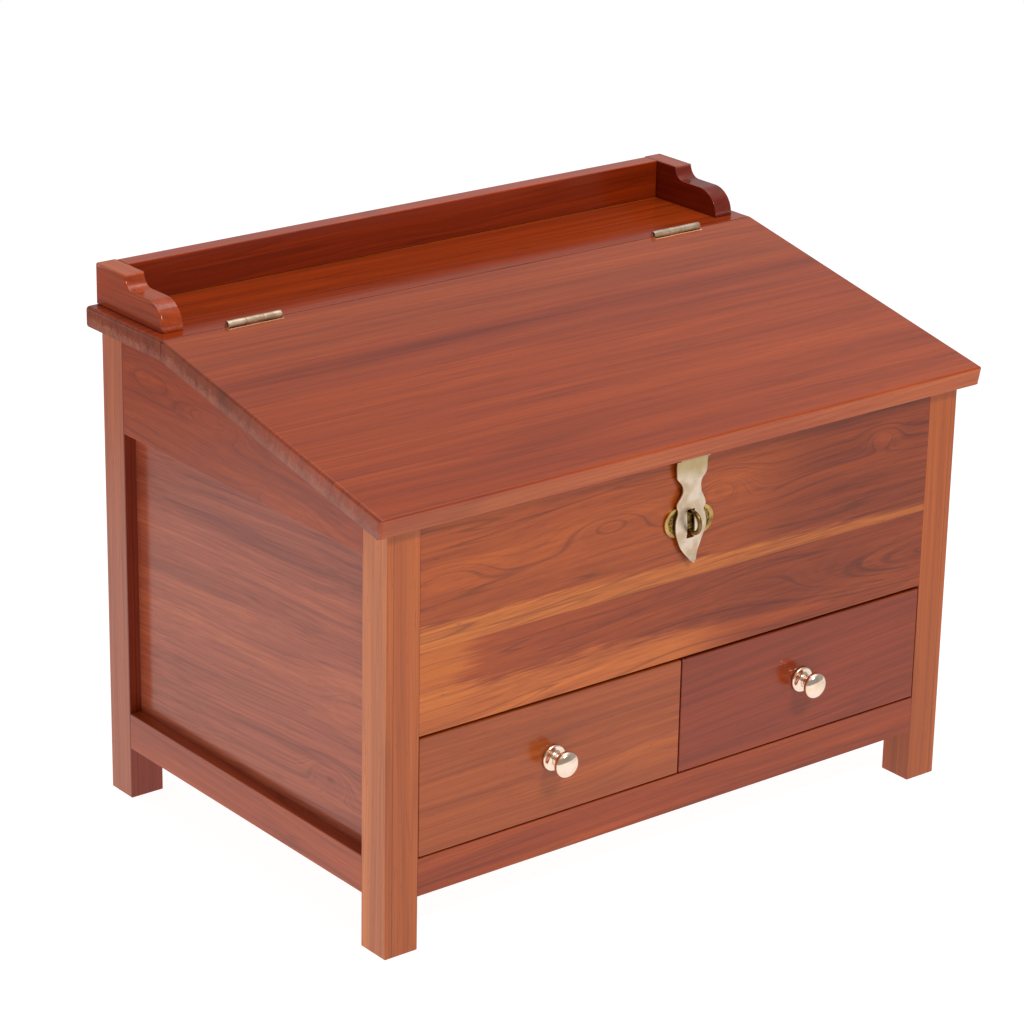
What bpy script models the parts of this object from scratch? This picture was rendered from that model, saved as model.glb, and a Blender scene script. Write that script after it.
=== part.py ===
"""A slant-top lap desk of lacquered red-brown hardwood with brass fittings.

Metres, +Z up, +X to the sitter's right, -Y towards the sitter.
The origin is on the floor, under the middle of the desk's plan.
Four square legs carry framed sides and a framed back, a front panel over two drawers, a top shelf
with a low scrolled gallery, and a sloping lid on two butt hinges, held shut by a hasp and staple.
"""

import math

import bmesh
import bpy
from mathutils import Matrix, Vector

# Clearances
GAP = 0.0003                   # between pieces that are glued, screwed or seated together
CUT_PAST = 0.004               # how far a cut runs on past an open face

# Carcass
WIDTH = 0.457                  # across the outside of the legs
DEPTH = 0.304                  # from the front of the legs to their back
SHELF_UNDERSIDE = 0.3213       # floor to the underside of the top shelf
LEG = 0.024                    # square section of a leg
LEG_ARRIS = 0.0008             # softened long edges of a leg
FOOT = 0.0355                  # floor to the underside of the lower rails
LOWER_RAIL_HEIGHT = 0.025
UPPER_RAIL_HEIGHT = 0.0681     # at the back, under the shelf
PANEL_RECESS = 0.0085          # outer face of the frame to the face of its panel
PANEL_THICKNESS = 0.005
PANEL_BACKING = 0.0045         # wood of a rail behind its panel
PANEL_GROOVE = 0.005
TONGUE_SHARE = 1 / 3           # thickness of a tongue, by the joiner's rule of thirds
TONGUE_WEB = 0.003             # wood left in a leg between the tongues from two sides
FRONT_PANEL_THICKNESS = 0.012
DRAWER_OPENING_HEIGHT = 0.0798
FLOOR_THICKNESS = 0.006        # floor of the compartment under the lid
FLOOR_LIFT = 0.004             # underside of the front panel to the underside of that floor
FLOOR_GROOVE = 0.005
DIVIDER_THICKNESS = 0.012
RUNNER_THICKNESS = 0.012
RUNNER_WIDTH = 0.018
CENTRE_RUNNER_WIDTH = 0.040

# Lid, top shelf and gallery
BOARD = 0.013                  # thickness of the lid and of the shelf
BOARD_ROUND = 0.0024           # rounded outer edges of both
SIDE_OVERHANG = 0.0118
FRONT_OVERHANG = 0.0106        # of the lid's upper edge
SHELF_DEPTH = 0.087
SLOPE = math.radians(11.65)
LID_JOINT_GAP = 0.0006         # between the shelf and the back edge of the lid
GALLERY_HEIGHT = 0.026
GALLERY_BACK_THICKNESS = 0.0135
GALLERY_END_THICKNESS = 0.0152
GALLERY_INSET = 0.0081         # end of the shelf to a gallery end
GALLERY_SETBACK = 0.0105       # lid joint to the nose of a gallery end
GALLERY_STEP = 0.0175          # level stretch between nose and cove
GALLERY_COVE = 0.0087          # radius of the cove up to the flat top
GALLERY_ARRIS = 0.0009

# Drawers
DRAWER_FRONT_THICKNESS = 0.012
DRAWER_FRONT_ARRIS = 0.0007
DRAWER_SIDE_THICKNESS = 0.008
DRAWER_SIDE_DROP = 0.0175      # top of the opening to the top of a drawer side
DRAWER_BACK_ROOM = 0.022       # back of a drawer to the back panel
DRAWER_BOTTOM_THICKNESS = 0.004
DRAWER_BOTTOM_LIFT = 0.006     # under edge of a side to the bottom
DRAWER_GROOVE = 0.004
DRAWER_REBATE = 0.006          # how far a side is let into the front
DRAWER_SIDE_GAP = 0.0007
DRAWER_CENTRE_GAP = 0.0013
DRAWER_HEAD_GAP = 0.0018
DRAWER_FOOT_GAP = 0.0009

# Knobs
KNOB_BASE_RADIUS = 0.0085
KNOB_BASE_THICKNESS = 0.0024
KNOB_NECK_RADIUS = 0.0036
KNOB_NECK_LENGTH = 0.0078
KNOB_COVE = 0.0018             # height of the hollow at each end of the neck
KNOB_HEAD_RADIUS = 0.0087
KNOB_HEAD_DEPTH = 0.0078
KNOB_DOME = 0.0016
KNOB_SCREW_RADIUS = 0.0019
KNOB_SCREW_DEPTH = 0.008       # of the screw in the knob
KNOB_SCREW_HEAD_RADIUS = 0.0036
KNOB_SCREW_HEAD_HEIGHT = 0.0024

# Butt hinges of the lid
HINGE_LENGTH = 0.040
HINGE_INSET = 0.0483           # end of the lid to the end of a hinge
HINGE_RISE = 0.0013            # pin above the top of the shelf
HINGE_RADIUS = 0.0024
HINGE_SHEET = 0.0012
HINGE_LEAF_HEIGHT = 0.011      # pin to the free edge of a leaf
HINGE_PIN_RECESS = 0.001       # end of the barrel to the end of its pin
HINGE_SCREW_SPREAD = 0.024
HINGE_SCREW_DROP = 0.0068      # pin to the screws
HINGE_ROLL_END = 250           # degrees, where the rolled knuckle stops

# Hasp: a leaf under the lid and a strap, each stretch of the strap measured from the one above
HASP_STANDOFF = 0.0006         # strap to staple plate
HASP_SINK = 0.0006             # pin below the underside of the lid
HASP_RADIUS = 0.0019
HASP_SHEET = 0.0011
HASP_ROLL_TURN = 290           # degrees that a knuckle is rolled through
HASP_WIDTH = 0.0253
HASP_LEAF_LENGTH = 0.026
HASP_SCREW_SPREAD = 0.014
HASP_SCREW_BACK = 0.014        # pin to the screws
HASP_PLATE_LENGTH = 0.0133     # square top of the strap
HASP_WAIST_WIDTH = 0.0144
HASP_WAIST_LENGTH = 0.0077
HASP_SHOULDER_WIDTH = 0.0246
HASP_SHOULDER_LENGTH = 0.0080
HASP_NICK_WIDTH = 0.0222
HASP_NICK_LENGTH = 0.0022
HASP_BODY_WIDTH = 0.0258
HASP_BODY_LENGTH = 0.0118
HASP_FLANK_WIDTH = 0.0160
HASP_FLANK_LENGTH = 0.0150
HASP_TIP_WIDTH = 0.0022
HASP_TIP_LENGTH = 0.0110
HASP_CURL_LENGTH = 0.0085
HASP_CURL_OUT = 0.0022         # how far the tip stands out

# Staple behind the strap's slot
STAPLE_WIRE = 0.0028
STAPLE_SPREAD = 0.0134         # between the middles of the two prongs
STAPLE_REACH = 0.0130          # front panel to the front of the loop
STAPLE_PRONG = 0.0100          # length of a prong in the panel
STAPLE_SIDE_ROOM = 0.0019      # wire to the long sides of the slot
STAPLE_END_ROOM = 0.0013       # wire to the ends of the slot
STAPLE_PLATE_THICKNESS = 0.0014
STAPLE_PLATE_WIDTH = 0.0392
STAPLE_PLATE_WAIST = 0.0150

# Countersunk wood screws of hinges and hasp
SCREW_HEAD_RADIUS = 0.0020
SCREW_HEAD_DEPTH = 0.0011
SCREW_HEAD_RIM = 0.0002
SCREW_SHANK_RADIUS = 0.0009
SCREW_POINT_RADIUS = 0.0004
SCREW_POINT_LENGTH = 0.0018
SCREW_LENGTH = 0.0085

# Facets
SCREW_SIDES = 12
PIN_SIDES = 16
KNOB_SIDES = 24
KNOB_HEAD_FACETS = 6
KNOB_DOME_RINGS = (0.8, 0.5)   # shares of the flat face's radius
PLATE_SIDES = 40
EDGE_FACETS = 3
COVE_FACETS = 6
NOSE_FACETS = 10
ROLL_FACETS = 18
LOOP_FACETS = 14
STRAP_FACETS = 5
SMOOTH_ANGLE = math.radians(35)

# Places that follow from the sizes above
KNOB_REACH = KNOB_BASE_THICKNESS + KNOB_NECK_LENGTH + KNOB_HEAD_DEPTH
FRONT = (KNOB_REACH - DEPTH) / 2
BACK = FRONT + DEPTH
HALF = WIDTH / 2
LEG_INNER = HALF - LEG
RAIL_THICKNESS = PANEL_RECESS + PANEL_THICKNESS + PANEL_BACKING
RAIL_TOP = FOOT + LOWER_RAIL_HEIGHT
UPPER_RAIL_UNDERSIDE = SHELF_UNDERSIDE - UPPER_RAIL_HEIGHT
TONGUE_LENGTH = LEG - RAIL_THICKNESS * (1 + TONGUE_SHARE) / 2 - TONGUE_WEB
DRAWER_OPENING_TOP = RAIL_TOP + DRAWER_OPENING_HEIGHT
FLOOR_UNDERSIDE = DRAWER_OPENING_TOP + FLOOR_LIFT
BACK_PANEL_FACE = BACK - PANEL_RECESS - PANEL_THICKNESS
SHELF_TOP = SHELF_UNDERSIDE + BOARD
JOINT_Y = BACK - SHELF_DEPTH
BOARD_HALF = HALF + SIDE_OVERHANG
HINGE_Z = SHELF_TOP + HINGE_RISE
HASP_Y = FRONT - GAP - STAPLE_PLATE_THICKNESS - HASP_STANDOFF - HASP_RADIUS


def lid_top(y):
    """Height of the lid's upper face at depth y."""
    return SHELF_TOP - (JOINT_Y - y) * math.tan(SLOPE)


def lid_underside(y):
    """Height of the lid's lower face at depth y."""
    return lid_top(y) - BOARD / math.cos(SLOPE)


HASP_Z = lid_underside(HASP_Y) - HASP_SINK / math.cos(SLOPE)
STAPLE_DROP = (HASP_PLATE_LENGTH + HASP_WAIST_LENGTH + HASP_SHOULDER_LENGTH
               + HASP_NICK_LENGTH + HASP_BODY_LENGTH)
STAPLE_Z = HASP_Z - STAPLE_DROP

# Tools for all pieces


def clear_scene():
    """Start from an empty scene."""
    for item in list(bpy.data.objects):
        bpy.data.objects.remove(item, do_unlink=True)


def make_material(name, colour, roughness, metallic):
    """A plain surface: colour in linear values, roughness and metallic."""
    made = bpy.data.materials.new(name)
    made.use_nodes = True
    shader = made.node_tree.nodes["Principled BSDF"]
    shader.inputs["Base Color"].default_value = (*colour, 1.0)
    shader.inputs["Roughness"].default_value = roughness
    shader.inputs["Metallic"].default_value = metallic
    return made


def place_of(carrier):
    """Where a carrier stands in the desk's frame; carriers aren't turned."""
    if carrier is None:
        return Vector((0, 0, 0))
    return carrier.location + place_of(carrier.parent)


def make_pivot(name, place, parent=None):
    """An empty on a joint's axis, which carries the pieces that move on it."""
    pivot = bpy.data.objects.new(name, None)
    pivot.empty_display_size = LEG
    bpy.context.scene.collection.objects.link(pivot)
    pivot.parent = parent
    pivot.location = Vector(place) - place_of(parent)
    return pivot


def add_object(name, data, material, carrier, place, turn=None):
    """Put a piece on its carrier, at its place in the desk's frame."""
    piece = bpy.data.objects.new(name, data)
    bpy.context.scene.collection.objects.link(piece)
    piece.parent = carrier
    piece.location = Vector(place) - place_of(carrier)
    if turn is not None:
        piece.rotation_mode = "QUATERNION"
        piece.rotation_quaternion = turn
    if material is not None:
        data.materials.append(material)
    return piece


def finish_mesh(name, bm):
    """Turn a bmesh into a mesh whose faces point out, smooth where it is round."""
    bmesh.ops.recalc_face_normals(bm, faces=bm.faces[:])
    mesh = bpy.data.meshes.new(name)
    bm.to_mesh(mesh)
    bm.free()
    mesh.shade_smooth()
    mesh.set_sharp_from_angle(angle=SMOOTH_ANGLE)
    return mesh


def shaped(name, bm, material, carrier):
    """A piece modelled in the desk's frame, with its origin on its carrier."""
    place = place_of(carrier)
    bmesh.ops.translate(bm, verts=bm.verts[:], vec=-place)
    return add_object(name, finish_mesh(name, bm), material, carrier, place)


def cut(piece, bm, place=(0, 0, 0), turn=None):
    """Take a body out of a piece."""
    name = piece.name + "_cutter"
    cutter = add_object(name, finish_mesh(name, bm), None, piece.parent, place, turn)
    cutter.hide_render = True
    cutter.display_type = "WIRE"
    boolean = piece.modifiers.new("Cut", "BOOLEAN")
    boolean.operation = "DIFFERENCE"
    boolean.solver = "EXACT"
    boolean.object = cutter


def cut_box(piece, low, high):
    """Take a rectangular body out of a piece."""
    cut(piece, box(low, high))


def round_edges(bm, chosen, radius, segments=1):
    """Round the edges that the test picks."""
    edges = [edge for edge in bm.edges if chosen(edge)]
    bmesh.ops.bevel(bm, geom=edges, offset=radius, segments=segments, profile=0.5, affect="EDGES")


def lies_at(edge, axis, place):
    """Whether both ends of an edge lie at a place along an axis (0, 1 or 2)."""
    return all(abs(vertex.co[axis] - place) < GAP / 2 for vertex in edge.verts)


def runs_along(edge, axis):
    """Whether an edge runs along an axis, whatever its length."""
    run = edge.verts[0].co - edge.verts[1].co
    return abs(run[axis]) > run.length * math.cos(SMOOTH_ANGLE)


def ordered(a, b):
    """Two values, the lower first."""
    return min(a, b), max(a, b)


def level(height):
    """A height that is the same at every depth."""
    return lambda y: height


def prism(points_low, points_high):
    """A closed body between two like outlines."""
    bm = bmesh.new()
    low = [bm.verts.new(point) for point in points_low]
    high = [bm.verts.new(point) for point in points_high]
    bm.faces.new(low)
    bm.faces.new(high)
    count = len(low)
    for i in range(count):
        following = (i + 1) % count
        bm.faces.new((low[i], low[following], high[following], high[i]))
    bmesh.ops.recalc_face_normals(bm, faces=bm.faces[:])
    return bm


def prism_along_x(outline, x_low, x_high):
    """An outline in depth and height, carried across the desk."""
    return prism([(x_low, y, z) for y, z in outline], [(x_high, y, z) for y, z in outline])


def prism_along_z(outline, bottom, top):
    """A plan outline carried upwards; its two heights are functions of depth."""
    return prism([(x, y, bottom(y)) for x, y in outline], [(x, y, top(y)) for x, y in outline])


def box(low, high):
    """A plain rectangular body between two corners."""
    outline = [(low[0], low[1]), (high[0], low[1]), (high[0], high[1]), (low[0], high[1])]
    return prism_along_z(outline, level(low[2]), level(high[2]))


def arc(centre, radius, start, end, steps):
    """Points of a circular arc, angles in degrees."""
    angles = [math.radians(start + (end - start) * i / steps) for i in range(steps + 1)]
    return [(centre[0] + radius * math.cos(a), centre[1] + radius * math.sin(a)) for a in angles]


def turned(profile, sides):
    """A profile of (radius, height) points, from axis to axis, spun round Z."""
    bm = bmesh.new()
    rings = []
    for radius, height in profile:
        count = sides if radius > 0 else 1
        angles = [2 * math.pi * i / count for i in range(count)]
        ring = [(radius * math.cos(a), radius * math.sin(a), height) for a in angles]
        rings.append([bm.verts.new(point) for point in ring])
    for lower, upper in zip(rings, rings[1:]):
        for i in range(sides):
            following = (i + 1) % sides
            corners = [lower[i % len(lower)], lower[following % len(lower)]]
            corners += [upper[following % len(upper)], upper[i % len(upper)]]
            bm.faces.new(list(dict.fromkeys(corners)))
    return bm


def facing(direction):
    """The turn that brings +Z to a direction."""
    return Vector((0, 0, 1)).rotation_difference(Vector(direction))


clear_scene()

WOOD = make_material("lacquered_hardwood", (0.33, 0.085, 0.035), 0.25, 0.0)
LINING = make_material("plain_hardwood", (0.36, 0.16, 0.08), 0.55, 0.0)
SATIN_BRASS = make_material("satin_brass", (0.62, 0.47, 0.27), 0.35, 1.0)
POLISHED_BRASS = make_material("polished_brass", (0.86, 0.66, 0.42), 0.08, 1.0)
DARK_BRASS = make_material("dark_brass", (0.32, 0.22, 0.10), 0.35, 1.0)
STEEL = make_material("steel", (0.45, 0.43, 0.40), 0.35, 1.0)

CARCASS = make_pivot("carcass_origin", (0, 0, 0))
LID = make_pivot("lid_pivot", (0, JOINT_Y, HINGE_Z), CARCASS)
HASP = make_pivot("hasp_pivot", (0, HASP_Y, HASP_Z), LID)

# Frame: square legs, rails with tongues in the legs, and thin panels in grooves

RAIL_SPAN_X = (-LEG_INNER + GAP - TONGUE_LENGTH, LEG_INNER - GAP + TONGUE_LENGTH)
RAIL_SPAN_Y = (FRONT + LEG + GAP - TONGUE_LENGTH, BACK - LEG - GAP + TONGUE_LENGTH)


def tongue_band(outer, inward, thickness):
    """Low and high place of a tongue in a rail; inward is the sign from its outer face inwards."""
    near = outer + inward * thickness * (1 - TONGUE_SHARE) / 2
    return ordered(near, near + inward * thickness * TONGUE_SHARE)


def panel_band(outer, inward):
    """Low and high place of a panel behind the frame's outer face."""
    near = outer + inward * PANEL_RECESS
    return ordered(near, near + inward * PANEL_THICKNESS)


def rail_plan(span, outer, inward, thickness):
    """Plan of a rail along its span, with a tongue at each end."""
    near, far = ordered(outer, outer + inward * thickness)
    tongue_near, tongue_far = tongue_band(outer, inward, thickness)
    low, high = span
    shoulder_low = low + TONGUE_LENGTH
    shoulder_high = high - TONGUE_LENGTH
    return [
        (shoulder_low, near), (shoulder_high, near), (shoulder_high, tongue_near), (high, tongue_near),
        (high, tongue_far), (shoulder_high, tongue_far), (shoulder_high, far), (shoulder_low, far),
        (shoulder_low, tongue_far), (low, tongue_far), (low, tongue_near), (shoulder_low, tongue_near),
    ]


def cross_rail(name, outer, inward, thickness, bottom, top):
    """A rail or panel from the left legs to the right legs."""
    plan = rail_plan(RAIL_SPAN_X, outer, inward, thickness)
    return shaped(name, prism_along_z(plan, bottom, top), WOOD, CARCASS)


def side_lower_rail(name, side):
    """The rail at the foot of a side."""
    plan = rail_plan(RAIL_SPAN_Y, side * HALF, -side, RAIL_THICKNESS)
    plan = [(x, y) for y, x in plan]
    return shaped(name, prism_along_z(plan, level(FOOT), level(RAIL_TOP)), WOOD, CARCASS)


def side_upper_rail(name, side):
    """The wide rail at the head of a side; its top follows the shelf and then the lid's slope."""
    front_y, back_y = RAIL_SPAN_Y
    outline = [
        (front_y, UPPER_RAIL_UNDERSIDE), (back_y, UPPER_RAIL_UNDERSIDE),
        (back_y, SHELF_UNDERSIDE - GAP), (JOINT_Y, SHELF_UNDERSIDE - GAP),
        (JOINT_Y, lid_underside(JOINT_Y) - GAP), (front_y, lid_underside(front_y) - GAP),
    ]
    outer = side * HALF
    x_low, x_high = ordered(outer, outer - side * RAIL_THICKNESS)
    rail = shaped(name, prism_along_x(outline, x_low, x_high), WOOD, CARCASS)
    tongue_low, tongue_high = tongue_band(outer, -side, RAIL_THICKNESS)
    cheeks = ((x_low - CUT_PAST, tongue_low), (tongue_high, x_high + CUT_PAST))
    ends = ((front_y - CUT_PAST, front_y + TONGUE_LENGTH), (back_y - TONGUE_LENGTH, back_y + CUT_PAST))
    for near, far in cheeks:
        for start, end in ends:
            cut_box(rail, (near, start, UPPER_RAIL_UNDERSIDE - CUT_PAST), (far, end, SHELF_TOP))
    return rail


def groove_rails(lower, upper, slot, span, along_x):
    """Plough the groove for a panel into the facing edges of two rails."""
    start = span[0] - CUT_PAST
    end = span[1] + CUT_PAST
    near = (start, slot[0] - GAP) if along_x else (slot[0] - GAP, start)
    far = (end, slot[1] + GAP) if along_x else (slot[1] + GAP, end)
    cut_box(lower, (*near, RAIL_TOP - PANEL_GROOVE), (*far, RAIL_TOP + CUT_PAST))
    cut_box(upper, (*near, UPPER_RAIL_UNDERSIDE - CUT_PAST), (*far, UPPER_RAIL_UNDERSIDE + PANEL_GROOVE))


PANEL_HOLD = PANEL_GROOVE - GAP
PANEL_BOTTOM = RAIL_TOP - PANEL_HOLD
PANEL_TOP = UPPER_RAIL_UNDERSIDE + PANEL_HOLD


def make_side(word, side):
    """One framed side: two rails and the panel between them."""
    slot = panel_band(side * HALF, -side)
    lower = side_lower_rail(f"{word}_lower_rail", side)
    upper = side_upper_rail(f"{word}_upper_rail", side)
    groove_rails(lower, upper, slot, RAIL_SPAN_Y, False)
    low = (slot[0], FRONT + LEG - PANEL_HOLD, PANEL_BOTTOM)
    high = (slot[1], BACK - LEG + PANEL_HOLD, PANEL_TOP)
    shaped(f"{word}_panel", box(low, high), WOOD, CARCASS)


def make_back():
    """The framed back: two rails and the panel between them."""
    slot = panel_band(BACK, -1)
    lower = cross_rail("back_lower_rail", BACK, -1, RAIL_THICKNESS, level(FOOT), level(RAIL_TOP))
    upper = cross_rail("back_upper_rail", BACK, -1, RAIL_THICKNESS,
                       level(UPPER_RAIL_UNDERSIDE), level(SHELF_UNDERSIDE - GAP))
    groove_rails(lower, upper, slot, RAIL_SPAN_X, True)
    low = (-LEG_INNER - PANEL_HOLD, slot[0], PANEL_BOTTOM)
    high = (LEG_INNER + PANEL_HOLD, slot[1], PANEL_TOP)
    shaped("back_panel", box(low, high), WOOD, CARCASS)


def make_front():
    """The front: a rail under the drawers, and the wide panel above them, grooved for the floor."""
    cross_rail("front_rail", FRONT, 1, RAIL_THICKNESS, level(FOOT), level(RAIL_TOP))
    panel = cross_rail("front_panel", FRONT, 1, FRONT_PANEL_THICKNESS, level(DRAWER_OPENING_TOP),
                       lambda y: lid_underside(y) - GAP)
    inside = FRONT + FRONT_PANEL_THICKNESS
    low = (-HALF, inside - FLOOR_GROOVE, FLOOR_UNDERSIDE - GAP)
    high = (HALF, inside + CUT_PAST, FLOOR_UNDERSIDE + FLOOR_THICKNESS + GAP)
    cut_box(panel, low, high)
    return panel


def make_leg(name, side, behind):
    """A square leg with mortises for the rail tongues and grooves for the panels."""
    outer_x = side * HALF
    inner_x = side * LEG_INNER
    inward_y = -1 if behind else 1
    outer_y = BACK if behind else FRONT
    inner_y = outer_y + inward_y * LEG
    x_low, x_high = ordered(outer_x, inner_x)
    y_low, y_high = ordered(outer_y, inner_y)
    plan = [(x_low, y_low), (x_high, y_low), (x_high, y_high), (x_low, y_high)]
    top = level(SHELF_UNDERSIDE - GAP) if behind else lambda y: lid_underside(y) - GAP
    bm = prism_along_z(plan, level(0), top)
    round_edges(bm, lambda edge: runs_along(edge, 2), LEG_ARRIS)
    leg = shaped(name, bm, WOOD, CARCASS)

    def mortise_from_side(band, depth, bottom, top):
        """Cut into the face that the side frame meets."""
        y_cut = ordered(inner_y + inward_y * CUT_PAST, inner_y - inward_y * depth)
        cut_box(leg, (band[0] - GAP, y_cut[0], bottom), (band[1] + GAP, y_cut[1], top))

    def mortise_from_end(band, depth, bottom, top):
        """Cut into the face that the front or the back meets."""
        x_cut = ordered(inner_x - side * CUT_PAST, inner_x + side * depth)
        cut_box(leg, (x_cut[0], band[0] - GAP, bottom), (x_cut[1], band[1] + GAP, top))

    lower = (FOOT - GAP, RAIL_TOP + GAP)
    upper = (UPPER_RAIL_UNDERSIDE - GAP, SHELF_TOP)
    grooved = (RAIL_TOP - PANEL_GROOVE, UPPER_RAIL_UNDERSIDE + PANEL_GROOVE)
    side_tongue = tongue_band(outer_x, -side, RAIL_THICKNESS)
    end_tongue = tongue_band(outer_y, inward_y, RAIL_THICKNESS)
    mortise_from_side(side_tongue, TONGUE_LENGTH, *lower)
    mortise_from_side(side_tongue, TONGUE_LENGTH, *upper)
    mortise_from_side(panel_band(outer_x, -side), PANEL_GROOVE, *grooved)
    mortise_from_end(end_tongue, TONGUE_LENGTH, *lower)
    if behind:
        mortise_from_end(end_tongue, TONGUE_LENGTH, *upper)
        mortise_from_end(panel_band(outer_y, inward_y), PANEL_GROOVE, *grooved)
    else:
        front_tongue = tongue_band(outer_y, inward_y, FRONT_PANEL_THICKNESS)
        mortise_from_end(front_tongue, TONGUE_LENGTH, DRAWER_OPENING_TOP - GAP, SHELF_TOP)


make_leg("front_left_leg", -1, False)
make_leg("front_right_leg", 1, False)
make_leg("back_left_leg", -1, True)
make_leg("back_right_leg", 1, True)
make_side("left", -1)
make_side("right", 1)
make_back()
FRONT_PANEL = make_front()

# Inside: the compartment floor, the board between the drawers, and the runners under them


def make_floor():
    """The floor of the compartment, notched round the legs and tongued into the front panel."""
    leg_face = LEG_INNER - GAP
    side_face = HALF - PANEL_RECESS - PANEL_THICKNESS - GAP
    front_edge = FRONT + FRONT_PANEL_THICKNESS - FLOOR_GROOVE + GAP
    front_leg = FRONT + LEG + GAP
    back_leg = BACK - LEG - GAP
    back_edge = BACK_PANEL_FACE - GAP
    right_half = [
        (leg_face, front_edge), (leg_face, front_leg), (side_face, front_leg),
        (side_face, back_leg), (leg_face, back_leg), (leg_face, back_edge),
    ]
    plan = right_half + [(-x, y) for x, y in reversed(right_half)]
    floor = prism_along_z(plan, level(FLOOR_UNDERSIDE), level(FLOOR_UNDERSIDE + FLOOR_THICKNESS))
    shaped("compartment_floor", floor, LINING, CARCASS)


def make_divider():
    """The upright board between the drawers, which also stops them."""
    low = (-DIVIDER_THICKNESS / 2, FRONT + DRAWER_FRONT_THICKNESS + GAP, RAIL_TOP + GAP)
    high = (DIVIDER_THICKNESS / 2, BACK_PANEL_FACE - GAP, FLOOR_UNDERSIDE - GAP)
    shaped("drawer_divider", box(low, high), LINING, CARCASS)


def make_runners():
    """The strips that the drawers slide on, between the front rail and the back rail."""
    outer = LEG_INNER - GAP
    half_centre = CENTRE_RUNNER_WIDTH / 2
    runners = {
        "left_runner": (-outer, RUNNER_WIDTH - outer),
        "centre_runner": (-half_centre, half_centre),
        "right_runner": (outer - RUNNER_WIDTH, outer),
    }
    for name, (x_low, x_high) in runners.items():
        low = (x_low, FRONT + RAIL_THICKNESS + GAP, RAIL_TOP - RUNNER_THICKNESS)
        high = (x_high, BACK - RAIL_THICKNESS - GAP, RAIL_TOP)
        shaped(name, box(low, high), LINING, CARCASS)


make_floor()
make_divider()
make_runners()

# Lid and top shelf: boards that meet at the hinge joint, rounded on their outer edges


def make_shelf():
    """The level board behind the lid."""
    joint = JOINT_Y + LID_JOINT_GAP / 2
    bm = box((-BOARD_HALF, joint, SHELF_UNDERSIDE), (BOARD_HALF, BACK, SHELF_TOP))
    round_edges(bm, lambda edge: not lies_at(edge, 1, joint), BOARD_ROUND, EDGE_FACETS)
    return shaped("top_shelf", bm, WOOD, CARCASS)


def make_lid():
    """The sloping board, upright at the joint and square to the slope at the front."""
    joint = JOINT_Y - LID_JOINT_GAP / 2
    nose_top = FRONT - FRONT_OVERHANG
    nose_bottom = nose_top + BOARD * math.sin(SLOPE)
    outline = [
        (nose_top, lid_top(nose_top)), (nose_bottom, lid_underside(nose_bottom)),
        (joint, lid_underside(joint)), (joint, lid_top(joint)),
    ]
    bm = prism_along_x(outline, -BOARD_HALF, BOARD_HALF)
    round_edges(bm, lambda edge: not lies_at(edge, 1, joint), BOARD_ROUND, EDGE_FACETS)
    return shaped("lid", bm, WOOD, LID)


SHELF = make_shelf()
LID_BOARD = make_lid()

# Gallery: a low rail at the back of the shelf between two scrolled ends


def make_gallery():
    """The rail and the ends, whose outline is a flat top, a cove, a step and a quarter-round nose."""
    base = SHELF_TOP + GAP
    top = base + GALLERY_HEIGHT
    nose_radius = GALLERY_HEIGHT - GALLERY_COVE
    nose_centre = JOINT_Y + GALLERY_SETBACK + nose_radius
    cove_centre = nose_centre + GALLERY_STEP
    outline = [(BACK, base), (BACK, top)]
    outline += arc((cove_centre, top), GALLERY_COVE, 0, -90, COVE_FACETS)
    outline += arc((nose_centre, base), nose_radius, 90, 180, NOSE_FACETS)
    outer = BOARD_HALF - GALLERY_INSET
    inner = outer - GALLERY_END_THICKNESS
    for word, side in (("left", -1), ("right", 1)):
        x_low, x_high = ordered(side * outer, side * inner)
        bm = prism_along_x(outline, x_low, x_high)
        round_edges(bm, lambda edge: not runs_along(edge, 0) and not lies_at(edge, 2, base), GALLERY_ARRIS)
        shaped(f"gallery_{word}_end", bm, WOOD, CARCASS)

    low = (-inner + GAP, BACK - GALLERY_BACK_THICKNESS, base)
    bm = box(low, (inner - GAP, BACK, top))
    round_edges(bm, lambda edge: runs_along(edge, 0) and lies_at(edge, 2, top), GALLERY_ARRIS)
    shaped("gallery_back", bm, WOOD, CARCASS)


make_gallery()

# Brass hinges: sheet leaves rolled round a pin, let into the edges of lid and shelf


def rolled_sheet(path, thickness, columns, is_metal, place):
    """A sheet bent along a path of (along, across) points, as one closed body.

    columns(row) gives the places over the sheet's width at a row of the path, is_metal(row, column)
    says which cells of that grid are there, and place(x, along, across) sets a point in the desk.
    """
    bm = bmesh.new()
    points = [Vector(point) for point in path]
    last = len(points) - 1
    width = len(columns(0)) - 1
    skins = {}
    for side in (-1, 1):
        for row, point in enumerate(points):
            run = points[min(row + 1, last)] - points[max(row - 1, 0)]
            normal = Vector((-run.y, run.x)).normalized()
            along, across = point + normal * side * thickness / 2
            for column, x in enumerate(columns(row)):
                skins[side, row, column] = bm.verts.new(place(x, along, across))

    def metal(row, column):
        """Whether a cell is inside the grid and there."""
        return 0 <= row < last and 0 <= column < width and is_metal(row, column)

    for row in range(last):
        for column in range(width):
            if not metal(row, column):
                continue
            corners = [(row, column), (row, column + 1), (row + 1, column + 1), (row + 1, column)]
            neighbours = [(row - 1, column), (row, column + 1), (row + 1, column), (row, column - 1)]
            for side in (-1, 1):
                bm.faces.new([skins[side, *corner] for corner in corners])
            for i, neighbour in enumerate(neighbours):
                if metal(*neighbour):
                    continue
                start = corners[i]
                end = corners[(i + 1) % 4]
                bm.faces.new([skins[-1, *start], skins[-1, *end], skins[1, *end], skins[1, *start]])
    loose = [vertex for vertex in bm.verts if not vertex.link_faces]
    bmesh.ops.delete(bm, geom=loose, context="VERTS")
    return bm


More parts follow.
